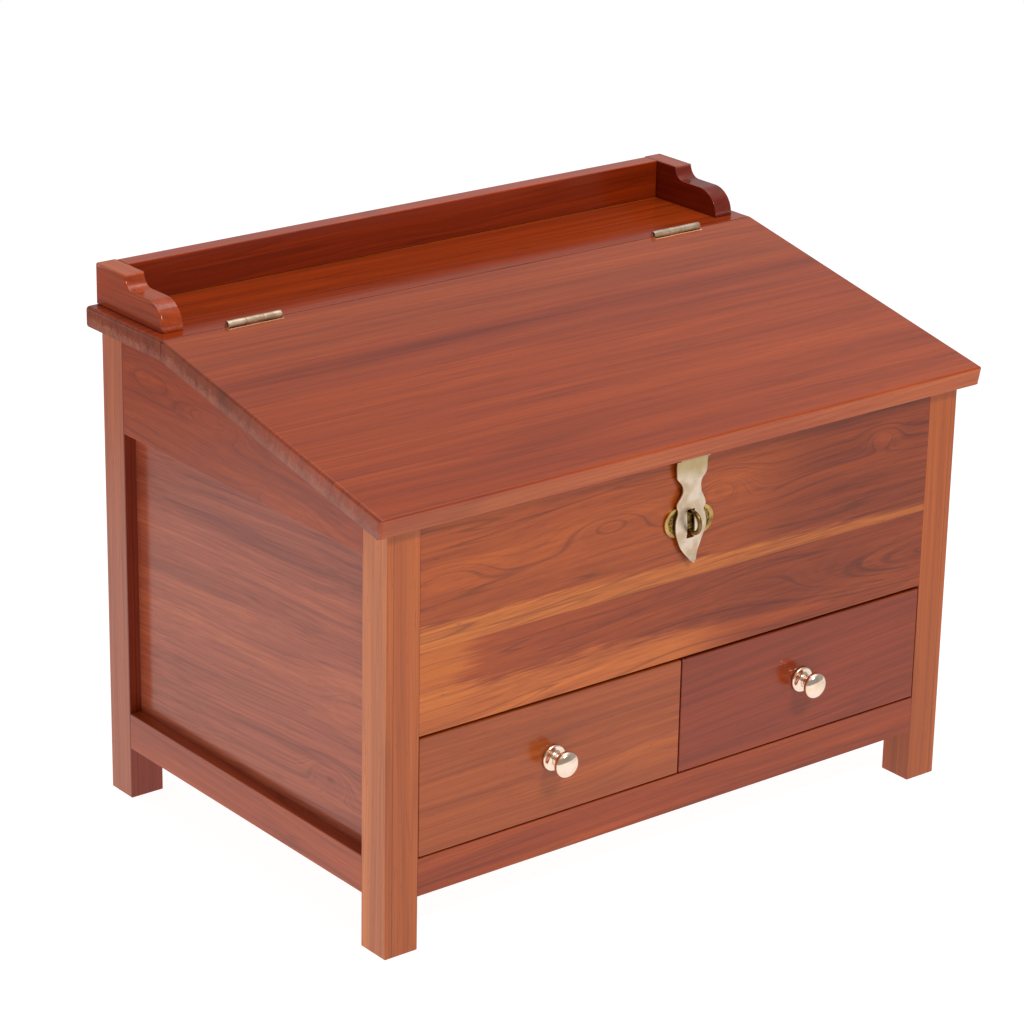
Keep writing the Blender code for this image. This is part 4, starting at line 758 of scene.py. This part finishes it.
nose_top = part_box("lid")[0].y
nose_bottom = nose_top + BOARD * math.sin(SLOPE)
back = JOINT_Y - JOINT_HALF
gain = JOINT_Y - LEAF_GAIN
notch = JOINT_Y - BARREL_NOTCH
plain = [(nose_bottom, lid_underside(nose_bottom)), on_slope(RECESS[0], RECESS_FOOT),
         on_slope(RECESS[0] + STEP, RECESS_FOOT), on_slope(RECESS[1] - STEP, RECESS_FOOT),
         on_slope(RECESS[1], RECESS_FOOT), (back, lid_underside(back)),
         (back, LEAF_FOOT), (back, LEAF_FOOT + STEP), (back, BARREL_FOOT), (back, BARREL_FOOT + STEP),
         (back, lid_top(back)), (nose_top, lid_top(nose_top))]
notched = plain[:7] + [(gain, LEAF_FOOT), (gain, BARREL_FOOT), (notch, BARREL_FOOT),
                       (notch, lid_top(notch)), plain[11]]
recessed = plain[:2] + [on_slope(RECESS[0], RECESS_TOP), on_slope(RECESS[1], RECESS_TOP)] + plain[4:]
radii = [NOSE_UNDER_ROUND, 0, 0, 0, 0, JOINT_ROUND, 0, 0, 0, 0, JOINT_ROUND, NOSE_TOP_ROUND]
spans = [(-HINGE_X - HINGE_HALF, -HINGE_X + HINGE_HALF, notched), (-RECESS_HALF, RECESS_HALF, recessed),
         (HINGE_X - HINGE_HALF, HINGE_X + HINGE_HALF, notched)]
shape = board(plain, radii, -BOARD_HALF, BOARD_HALF, BOARD_ROUND, "x", range(10), spans)
wooden(
    "lid", shape, "x", (0.0, -0.45, 0.20), (0.012, 0.012), "#a44014",
    planks=[(1, -0.0150, (0.12, 0.42, 0.25), "#a03f18"), (1, 0.0226, (-0.2, 0.50, 0.30), "#a4441b")],
    figures=[((0.00, 0.008, 0.32), (0.300, 0.007, 0.10), 0.0, -0.11),
             ((0.03, 0.068, 0.33), (0.160, 0.010, 0.05), 0.0, -0.05),
             ((0.10, -0.115, 0.29), (0.030, 0.004, 0.05), 0.004, -0.08),
             ((-0.09, -0.120, 0.29), (0.060, 0.010, 0.05), 0.006, -0.06)],
    # the lid's front face painted paler: painted light
    sap=[((0, nose_top, lid_top(nose_top)), (0, -math.cos(SLOPE), -math.sin(SLOPE)), 0.00025, 0.8, LIT_NOSE_TONE)]
    + [((0, notch - PALE_NOTCH_WIDTH, 0), (0, 1, 0), 0.00012, 0.8, PALE_NOTCH_TONE, (0, start, end, 0.0004))
       for start, end, _ in spans[::2]]
    + end_tones((0, JOINT_Y, lid_underside(JOINT_Y)), (0, math.sin(SLOPE), -math.cos(SLOPE))),
    bands=0.6, rings=0.6, streaks=0.9, body="lid",
)

# Gallery: a low rail along the back of the shelf between two sawn ends, each with a flat top, a cove, a
# step and a quarter-round nose. Rosewood, glued and pinned down on the shelf.

GALLERY_ARRIS = 0.0018
INNER_ARRIS = 0.0004
GALLERY_COVE = 0.0087
GALLERY_STEP = 0.0175
COVE_POINTS = 9
NOSE_POINTS = 20
LIT_TOP_SKIN = (0.0008, 0.0003)    # depth and softness of the painted light: the tops are painted paler
# side, tone, and the paler tone painted on the top as light from above
GALLERY_ENDS = (("left", -1, "#ab400f", "#c85716"), ("right", 1, "#781f08", "#a83a12"))
low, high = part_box("gallery_left_end")
nose_radius = high.z - low.z - GALLERY_COVE
nose_y = low.y + nose_radius
cove = np.linspace(0, -math.pi / 2, COVE_POINTS)
nose = np.linspace(math.pi / 2, math.pi, NOSE_POINTS)
outline = np.vstack([
    [(high.y, low.z), (high.y, high.z)],
    arc((nose_y + GALLERY_STEP, high.z), GALLERY_COVE, cove),
    arc((nose_y, low.z), nose_radius, nose),
])
for word, side, tone, lit_top_tone in GALLERY_ENDS:
    node = f"gallery_{word}_end"
    low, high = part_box(node)
    shape = board(outline, [0] * len(outline), low.x, high.x, (GALLERY_ARRIS, INNER_ARRIS)[::-side], "x",
                  kept_edges=(len(outline) - 1,))
    # the top is painted paler than the sides: painted light from above
    wooden(node, shape, "y", (side * 0.20, 0.10, 0.45), (0.01, 0.02), tone, roughness=0.16,
           sap=[((0, 0, high.z - LIT_TOP_SKIN[0]), (0, 0, 1), LIT_TOP_SKIN[1], 1.0, lit_top_tone)])
low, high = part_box("gallery_back")
radii = [FLUSH_ARRIS, FLUSH_ARRIS, GALLERY_ARRIS, INNER_ARRIS]
shape = board(rectangle(low.yz, high.yz), radii, low.x + GAP - GLUE_LINE, high.x - GAP + GLUE_LINE,
              GLUE_LINE, "x")
# the back rail's top is painted paler: painted light from above
wooden("gallery_back", shape, "x", (0.0, 0.15, 0.60), (0.01, 0.01), "#842806", roughness=0.16,
       sap=[((0, 0, high.z - LIT_TOP_SKIN[0]), (0, 0, 1), LIT_TOP_SKIN[1], 1.0, "#b03c0a")])

# Hinges: brass butt hinges. Each leaf is sheet, rolled into knuckles round a steel pin, and let into the
# edge of its board with two countersunk screws. Only the barrel shows while the lid is shut.

HINGE_Z = 0.3356
HINGE_LENGTH = 0.040
HINGE_SHEET = 0.0012
HINGE_RADIUS = 0.0024
HINGE_LEAF_HEIGHT = 0.011
KNUCKLE_GAP = 0.00016
KNUCKLE_TAIL = (0.0015, 0.0003)   # where a knuckle's sheet begins in the leaf and leaves it, past the barrel
SHEET_ARRIS = 0.0002
ROLL_END = math.radians(250)
ROLL_POINTS = 48
# Satin brass: drawn scratches along the sheet blur what it mirrors, and it has dulled in clouds.
satin_brass = brass("satin_rolled_brass", "#dac6ae", "#b8a083", 0.36, 0.06, 0.6, along="x")


def rolled(path, thickness):
    """The closed outline of a bent sheet: its middle line moved half the thickness to each side."""
    path = np.asarray(path, float)
    run = np.gradient(path, axis=0)
    side = np.column_stack([-run[:, 1], run[:, 0]])
    side *= thickness / 2 / np.linalg.norm(side, axis=1, keepdims=True)
    return np.vstack([path - side, (path + side)[::-1]])


def joined(*shapes):
    """Several closed shapes as one: their points one after the other, and their faces numbered on."""
    start = np.cumsum([0] + [len(points) for points, _, _ in shapes])
    faces = [[corner + first for corner in face]
             for (_, some, _), first in zip(shapes, start) for face in some]
    return np.vstack([s[0] for s in shapes]), faces, np.vstack([s[2] for s in shapes])


roll = HINGE_RADIUS - HINGE_SHEET / 2
sheet_y = JOINT_HALF + HINGE_SHEET / 2
angle = np.linspace(-math.acos(sheet_y / roll), ROLL_END, ROLL_POINTS)
knuckle_path = np.vstack([[(sheet_y, -HINGE_RADIUS - tail) for tail in KNUCKLE_TAIL],
                          arc((0, 0), roll, angle)])
leaf_z = (HINGE_Z - HINGE_LEAF_HEIGHT, HINGE_Z - HINGE_RADIUS - KNUCKLE_TAIL[1])
for word, centre in (("left", -HINGE_X), ("right", HINGE_X)):
    thirds = np.linspace(-0.5, 0.5, 4) * HINGE_LENGTH + centre
    for owner, behind, knuckles, body in (("shelf", 1, (0, 2), "carcass"), ("lid", -1, (1,), "lid")):
        outline = rolled(knuckle_path, HINGE_SHEET) * (behind, 1) + (JOINT_Y, HINGE_Z)
        outline = outline if behind > 0 else outline[::-1]
        pieces = []
        for third in knuckles:
            start = thirds[third] + (KNUCKLE_GAP / 2 if third > 0 else 0)
            end = thirds[third + 1] - (KNUCKLE_GAP / 2 if third < 2 else 0)
            pieces.append(board(outline, [0] * len(outline), start, end, SHEET_ARRIS, "x"))
        leaf_y = sorted((JOINT_Y + behind * JOINT_HALF, JOINT_Y + behind * (JOINT_HALF + HINGE_SHEET)))
        leaf = rectangle((leaf_y[0], leaf_z[0]), (leaf_y[1], leaf_z[1]))
        pieces.append(board(leaf, [SHEET_ARRIS] * 4, thirds[0], thirds[3], SHEET_ARRIS, "x"))
        fit(f"{word}_hinge_{owner}_brass", joined(*pieces), satin_brass, f"{word}_hinge_{owner}_leaf", body)
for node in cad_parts:
    if node.endswith("pin") or ("screw" in node and "knob" not in node):
        dress(node, steel if node.endswith("pin") else satin_brass)

# Hasp: a leaf of brass sheet under the lid, and a waisted strap that hangs from its pin over the staple.
# The strap is cut from sheet, pierced with a slot, filed round its edges and curled out at the tip.

HASP_SHEET = 0.0011
HASP_RADIUS = 0.0019
HASP_WIDTH = 0.0253
HASP_LEAF_LENGTH = 0.026
HASP_EAR = 0.0116              # the leaf's knuckles end a little inside the strap's edges
HASP_ROLL = math.radians(290)
# The strap's sheet is paler where hands rub it, and olive with tarnish in the shade of the lid.
hasp_brass = brass("satin_sheet_brass", "#e6d2bd", "#cdb395", 0.33, 0.05, 0.9,
                   stain=(HASP_Z - 0.018, HASP_Z - 0.006, "#b99f6c"))
roll = HASP_RADIUS - HASP_SHEET / 2
angle = np.linspace(math.pi / 2, math.pi / 2 + HASP_ROLL, ROLL_POINTS)
path = np.vstack([[(HASP_RADIUS + tail, roll) for tail in KNUCKLE_TAIL], arc((0, 0), roll, angle)])
outline = rolled(path, HASP_SHEET)
outline = np.column_stack(on_slope(outline[:, 0], outline[:, 1]))
leaf = rectangle((HASP_RADIUS + KNUCKLE_TAIL[1], roll - HASP_SHEET / 2),
                 (HASP_LEAF_LENGTH, roll + HASP_SHEET / 2))
leaf = [on_slope(*corner) for corner in leaf]
sixth = HASP_WIDTH / 6
pieces = [board(outline, [0] * len(outline), start, end, SHEET_ARRIS, "x")
          for start, end in ((-HASP_EAR, -sixth - KNUCKLE_GAP), (sixth + KNUCKLE_GAP, HASP_EAR))]
pieces.append(board(leaf, [SHEET_ARRIS] * 4, -HASP_WIDTH / 2, HASP_WIDTH / 2, SHEET_ARRIS, "x"))
fit("hasp_brass_leaf", joined(*pieces), hasp_brass, "hasp_leaf", "lid")

STRAP_KNOTS = (                # drop below the pin, half width and middle, in mm: filed by eye, so not even
    (0, 12.3, 0), (3, 12.3, -0.4), (6, 12.2, -0.65), (10, 12.0, -0.5), (13.5, 11.05, -0.85),
    (15.5, 9.1, -0.9), (17.3, 7.95, -0.6), (20, 7.2, -0.2), (22.5, 7.3, 0), (24.5, 7.9, -0.2),
    (26, 8.8, -0.3), (28.6, 10.6, -0.7), (30, 11.2, -0.6), (31.6, 11.4, -0.3), (33.5, 11.05, 0.1),
    (34.6, 10.4, -0.2), (35.6, 10.3, -0.4), (38.9, 11.3, -0.4), (42.4, 12.1, -0.2), (45.8, 12.3, 0.1),
    (48.8, 11.9, 0.1), (54.4, 9.7, -0.3), (59.8, 7.3, 0), (63.6, 5.0, 0.7), (66.5, 3.2, 1.6),
    (68.5, 2.0, 2.0), (70.0, 0.5, 2.1))
SLOT_HALF = 0.0030
SLOT_REACH = 0.0094
SLOT_DROP = 0.044
SLOT_MARGIN = 1.7              # where the strap is narrower than this many slots, all columns draw in
CURL = (0.0080, 0.0014)        # length and stand of the tip
STRAP_ROWS = 150
KNUCKLE_ROWS = 40
STRAP_COLUMNS = 7
FILED_EDGE = 0.00028
FILED_TURN = math.radians(50)


def smooth_run(knots, places):
    """Values at places of a Catmull-Rom curve through (place, value) knots."""
    x, y = np.array(knots).T
    slope = np.gradient(y, x)
    part = np.clip(np.searchsorted(x, places, side="right") - 1, 0, len(x) - 2)
    span = x[part + 1] - x[part]
    t = np.clip((places - x[part]) / span, 0, 1)
    return ((2 * t ** 3 - 3 * t ** 2 + 1) * y[part] + (t ** 3 - 2 * t ** 2 + t) * span * slope[part]
            + (3 * t ** 2 - 2 * t ** 3) * y[part + 1] + (t ** 3 - t ** 2) * span * slope[part + 1])


# The sheet's middle is a grid: rows run down the strap, and columns from its middle over the slot's and
# the knuckle's edge to its own edge, once to each side. The knuckle carries on from the top row.
knots = np.array(STRAP_KNOTS) / 1000
tip = knots[-1, 0]
slot_top = SLOT_DROP - SLOT_REACH
slot_foot = SLOT_DROP + SLOT_REACH
rows = np.linspace(HASP_RADIUS + GAP, tip, STRAP_ROWS)
rows = np.unique(np.concatenate([rows, [slot_top, slot_foot]]).round(7))
edge = smooth_run(knots[:, :2], rows)
middle = smooth_run(knots[:, [0, 2]], rows)
squeeze = np.minimum(1, edge / (SLOT_MARGIN * SLOT_HALF))
slot = SLOT_HALF * squeeze
knuckle = sixth * squeeze
share = np.linspace(0, 1, STRAP_COLUMNS)
half = np.hstack([slot[:, None] * share, slot[:, None] + (knuckle - slot)[:, None] * share[1:],
                  knuckle[:, None] + (edge - knuckle)[:, None] * share[1:]])
open_rows = (rows[:-1] >= slot_top - MERGE) & (rows[1:] <= slot_foot + MERGE)
pierced = open_rows[:, None] & (np.arange(half.shape[1] - 1) < STRAP_COLUMNS - 1)
stand = CURL[1] * (np.maximum(0, rows - tip + CURL[0]) / CURL[0]) ** 2
lift = np.linspace(0, HASP_ROLL, KNUCKLE_ROWS)
round_half = half[0, :2 * STRAP_COLUMNS - 1]
across = len(round_half)
parts = []
for way in (-1, 1):
    flat_part = np.stack([middle[:, None] + way * half,
                          np.repeat((HASP_Y + roll - stand)[:, None], half.shape[1], 1),
                          np.repeat((HASP_Z - rows)[:, None], half.shape[1], 1)], -1)
    curl = np.stack([np.repeat(way * round_half[None], len(lift), 0),
                     np.repeat((HASP_Y + roll * np.cos(lift))[:, None], across, 1),
                     np.repeat((HASP_Z + roll * np.sin(lift))[:, None], across, 1)], -1)
    round_part = np.concatenate([flat_part[:1, :across], curl])
    parts += [(flat_part, way, ~pierced), (round_part, -way, np.ones((len(lift), across - 1), bool))]
points = []
faces = []
for part, way, metal in parts:
    down, over = part.shape[:2]
    start = sum(len(p) for p in points)
    cell = (start + np.arange(down - 1)[:, None] * over + np.arange(over - 1)[None])[..., None]
    ring = np.array([0, over, over + 1, 1] if way > 0 else [0, 1, over + 1, over])
    faces += (cell + ring)[metal].tolist()
    points.append(part.reshape(-1, 3))
mesh = bpy.data.meshes.new("hasp_brass_strap")
mesh.from_pydata(np.vstack(points).tolist(), [], faces)
merge_doubles(mesh, outwards=True)
mesh.polygons.foreach_set("use_smooth", np.ones(len(mesh.polygons), bool))
mesh.materials.append(hasp_brass)
strap = placed("hasp_brass_strap", mesh)
wall = strap.modifiers.new("sheet", "SOLIDIFY")
wall.thickness = HASP_SHEET
wall.offset = 0
soft = strap.modifiers.new("filed_edges", "BEVEL")
soft.width = FILED_EDGE
soft.segments = 2
soft.limit_method = "ANGLE"
soft.angle_limit = FILED_TURN
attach(strap, "hasp")
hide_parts("hasp_strap")

# Staple: a loop of round brass wire driven through a waisted plate into the front panel. The plate's two
# ears are cast with a raised rim and a chased field, and both have gone dark with age; the field is also
# painted near black as painted shade where it shows through the strap's slot.

STAPLE_Z = HASP_Z - 0.043
WIRE = 0.0029
LOOP_SPREAD = 0.0134
LOOP_FRONT = -0.156
PRONG_END = -0.1332
BEND_POINTS = 40
WIRE_SIDES = 24
# Old drawn wire is brown all over; the plate is rubbed yellow on its rim and nearly black in its field:
# dark patina in the chased hollows, and painted shade where the field shows through the strap's slot.
dark_brass = brass("darkened_drawn_brass", "#8c7040", "#4c3a1e", 0.30, 0.05, 0.6)
plate_brass = brass("rubbed_cast_brass", "#d2ac68", "#8a6a34", 0.32, 0.08, 0.5)
chased_patina_and_shade_brass = brass("chased_brass_patina_and_shade", "#a88648", "#2a1c0c", 0.42, 0.25, 1.0, (0.46, 0.60))
bend = LOOP_SPREAD / 2
bend_y = LOOP_FRONT + WIRE / 2 + bend
angle = np.linspace(math.pi / 2, 3 * math.pi / 2, BEND_POINTS)
path = np.vstack([[(PRONG_END, STAPLE_Z + bend)], arc((bend_y, STAPLE_Z), bend, angle),
                  [(PRONG_END, STAPLE_Z - bend)]])
run = np.gradient(path, axis=0)
run /= np.linalg.norm(run, axis=1, keepdims=True)
side = np.column_stack([-run[:, 1], run[:, 0]])
turn = np.linspace(0, 2 * math.pi, WIRE_SIDES, endpoint=False)
normals = np.stack([np.repeat(np.cos(turn)[None], len(path), 0), side[:, :1] * np.sin(turn),
                    side[:, 1:] * np.sin(turn)], -1)
points = np.column_stack([np.zeros(len(path)), path])[:, None] + normals * WIRE / 2
fit("staple_brass_loop", stacked(points[:, ::-1], normals[:, ::-1]), dark_brass, "staple")

PLATE_WIDTH = 0.0392
PLATE_WAIST = 0.0150
PLATE_THICK = 0.0014
PLATE_RIM = 0.00045
PLATE_TILT = math.radians(4)   # nailed on a little askew
PLATE_RINGS = (                # shares of the outline, and of the rim's height there
    (1.0, 0), (1.0, 0.7), (0.985, 0.93), (0.96, 1.0), (0.93, 1.0), (0.90, 0.93), (0.88, 0.5), (0.855, 0),
    *((tenth / 10, 0) for tenth in range(8, 0, -1)), (0.004, 0))
PLATE_SIDES = 160
FIELD = 0.86                   # share of the outline inside the rim
CHASE = (0.45, 0.83)           # shares of the outline between which the field is chased
CHASE_DEPTH = 0.00012
CHASE_RAYS = 14
mean = (PLATE_WIDTH + PLATE_WAIST) / 4
swing = (PLATE_WIDTH - PLATE_WAIST) / 4
angle = np.linspace(0, 2 * math.pi, PLATE_SIDES, endpoint=False)
inward, lift = np.array(PLATE_RINGS).T
reach = inward[:, None] * (mean + swing * np.cos(2 * angle))
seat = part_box("front_panel")[0].y - GAP
base = np.where(np.arange(len(inward)) == 0, 0.0, PLATE_THICK - PLATE_RIM) + lift * PLATE_RIM
chased = (inward > CHASE[0]) & (inward < CHASE[1])
height = base[:, None] + CHASE_DEPTH * np.cos(CHASE_RAYS * angle)[None] * chased[:, None]
points = np.stack([reach * np.cos(angle - PLATE_TILT), seat - height,
                   STAPLE_Z + reach * np.sin(angle - PLATE_TILT)], -1)
normals = np.zeros_like(points)
normals[..., 1] = -1
plate = fit("staple_cast_plate", stacked(points, normals), plate_brass, "staple_plate")
plate.data.normals_split_custom_set([(0, 0, 0)] * len(plate.data.loops))
plate.data.materials.append(chased_patina_and_shade_brass)
centres = read(plate.data.polygons, "center", 3)
away = np.hypot(centres[:, 0], centres[:, 2] - STAPLE_Z)
bearing = np.arctan2(centres[:, 2] - STAPLE_Z, centres[:, 0]) + PLATE_TILT
field = (away < FIELD * (mean + swing * np.cos(2 * bearing))) & (centres[:, 1] < seat - PLATE_THICK / 4)
plate.data.polygons.foreach_set("material_index", field.astype(np.int32))

# Studio: a flat floor of white paper, white surroundings, a broad soft lamp overhead, a small one in
# front, and the camera with a long lens that was fitted to the photograph.

scene = bpy.context.scene
scene.view_settings.view_transform = "Standard"
AMBIENT = 0.26
# What the lacquer mirrors: a heading's start and end, and the levels there.
MIRRORED_DEEP = (-0.10, 0.42, 0.32, 0.46)
MIRRORED_RIGHT = (0.52, 0.74, 0, 0.24)
MIRRORED_ABOVE = (0.62, 0.85)
LEVEL_ABOVE = 0.9
LEVEL_BELOW = 1.1
world = bpy.data.worlds.new("white_studio")
world.use_nodes = True
scene.world = world
tree = world.node_tree
ray = put(tree, "LightPath", out=None)
heading = put(tree, "SeparateXYZ", (put(tree, "TexCoord", out="Generated"),), out=None)
mirrored = put(tree, "MapRange", (heading[1], *MIRRORED_DEEP), "SMOOTHSTEP")
right = put(tree, "MapRange", (heading[0], *MIRRORED_RIGHT), "SMOOTHSTEP")
mirrored = put(tree, "Math", (right, mirrored, mirrored), "MULTIPLY_ADD")
above = put(tree, "MapRange", (heading[2], *MIRRORED_ABOVE), "SMOOTHSTEP")
mirrored = put(tree, "Mix", {0: above, 2: mirrored, 3: LEVEL_ABOVE})
level = put(tree, "Mix", {0: ray["Is Glossy Ray"], 2: AMBIENT, 3: mirrored})
below = put(tree, "Math", (heading[2], 0.0), "LESS_THAN")
level = put(tree, "Mix", {0: below, 2: level, 3: LEVEL_BELOW})
level = put(tree, "Mix", {0: ray["Is Camera Ray"], 2: level, 3: 1.0})
tree.links.new(level, tree.nodes["Background"].inputs["Strength"])
tree.nodes["Background"].inputs["Color"].default_value = (1, 1, 1, 1)

FLOOR_HALF = 1.6
FLOOR_DROP = 0.0005
PAPER = (0.86, 0.86, 0.86, 1)
PAPER_GLOW = 0.7               # share of the paper's light that is its own, so that it stays white
# How bright the paper is: to the camera, to other rays, and mirrored, where it falls off to right and back.
PAPER_SEEN = 1.36
PAPER_LIT = 1.60
PAPER_RIGHT = (0.1, 0.7, 1.18, 0.85)
PAPER_BACK = (0.50, 0.86, 1.0, 0.25)
grid = np.linspace(-FLOOR_HALF, FLOOR_HALF, 3)
floor_x, floor_y = np.meshgrid(grid, grid)
points = np.stack([floor_x, floor_y, np.full_like(floor_x, -FLOOR_DROP)], -1).reshape(-1, 3)
cell = (np.arange(2)[:, None] * 3 + np.arange(2)[None])[..., None] + np.array([0, 1, 4, 3])
mesh = bpy.data.meshes.new("studio_floor")
mesh.from_pydata(points.tolist(), [], cell.reshape(-1, 4).tolist())
ground = placed("studio_floor", mesh)
paper, tree, place = new_material("white_paper")
ray = put(tree, "LightPath", out=None)
seen = put(tree, "Math", (ray["Is Camera Ray"], ray["Is Glossy Ray"]), "MAXIMUM")
floor = put(tree, "SeparateXYZ", (place,), out=None)
shown = put(tree, "MapRange", (floor[0], *PAPER_RIGHT))
far = put(tree, "MapRange", (floor[1], *PAPER_BACK), "SMOOTHSTEP")
shown = put(tree, "Math", (shown, far), "MULTIPLY")
shown = put(tree, "Mix", {0: ray["Is Camera Ray"], 2: shown, 3: PAPER_SEEN})
strength = put(tree, "Mix", {0: seen, 2: PAPER_LIT, 3: shown})
matt = put(tree, "BsdfDiffuse", (PAPER,))
glow = put(tree, "Emission", ((1, 1, 1, 1), strength))
mixed = put(tree, "MixShader", (PAPER_GLOW, matt, glow))
tree.links.new(mixed, tree.nodes["Material Output"].inputs[0])
mesh.materials.append(paper)

LAMPS = (                      # name, place, aim, size and power in watts
    ("overhead_softbox", (0.25, 0.15, 2.6), (0, 0, 0.3), (1.8, 1.8), 20.0),
    ("front_softbox", (0.06, -1.64, 1.86), (0, -0.14, 0.25), (0.6, 0.36), 23.0))
for name, place, aim, size, power in LAMPS:
    data = bpy.data.lights.new(name, "AREA")
    data.shape = "RECTANGLE"
    data.size, data.size_y = size
    data.energy = power
    lamp = placed(name, data)
    lamp.location = place
    lamp.rotation_euler = (Vector(aim) - Vector(place)).to_track_quat("-Z", "Y").to_euler()

CAMERA_PLACE = (-1.3577, -1.6732, 1.0104)
CAMERA_AZIMUTH = math.radians(-38.565)
CAMERA_ELEVATION = math.radians(20.788)
CAMERA_ROLL = math.radians(1.103)
data = bpy.data.cameras.new("photograph")
data.lens = 125.4
data.sensor_width = 36.0
camera = placed("photograph", data)
turn = (Matrix.Rotation(CAMERA_AZIMUTH, 3, "Z") @ Matrix.Rotation(math.pi / 2 - CAMERA_ELEVATION, 3, "X")
        @ Matrix.Rotation(CAMERA_ROLL, 3, "Z"))
camera.matrix_world = Matrix.Translation(CAMERA_PLACE) @ turn.to_4x4()
scene.camera = camera
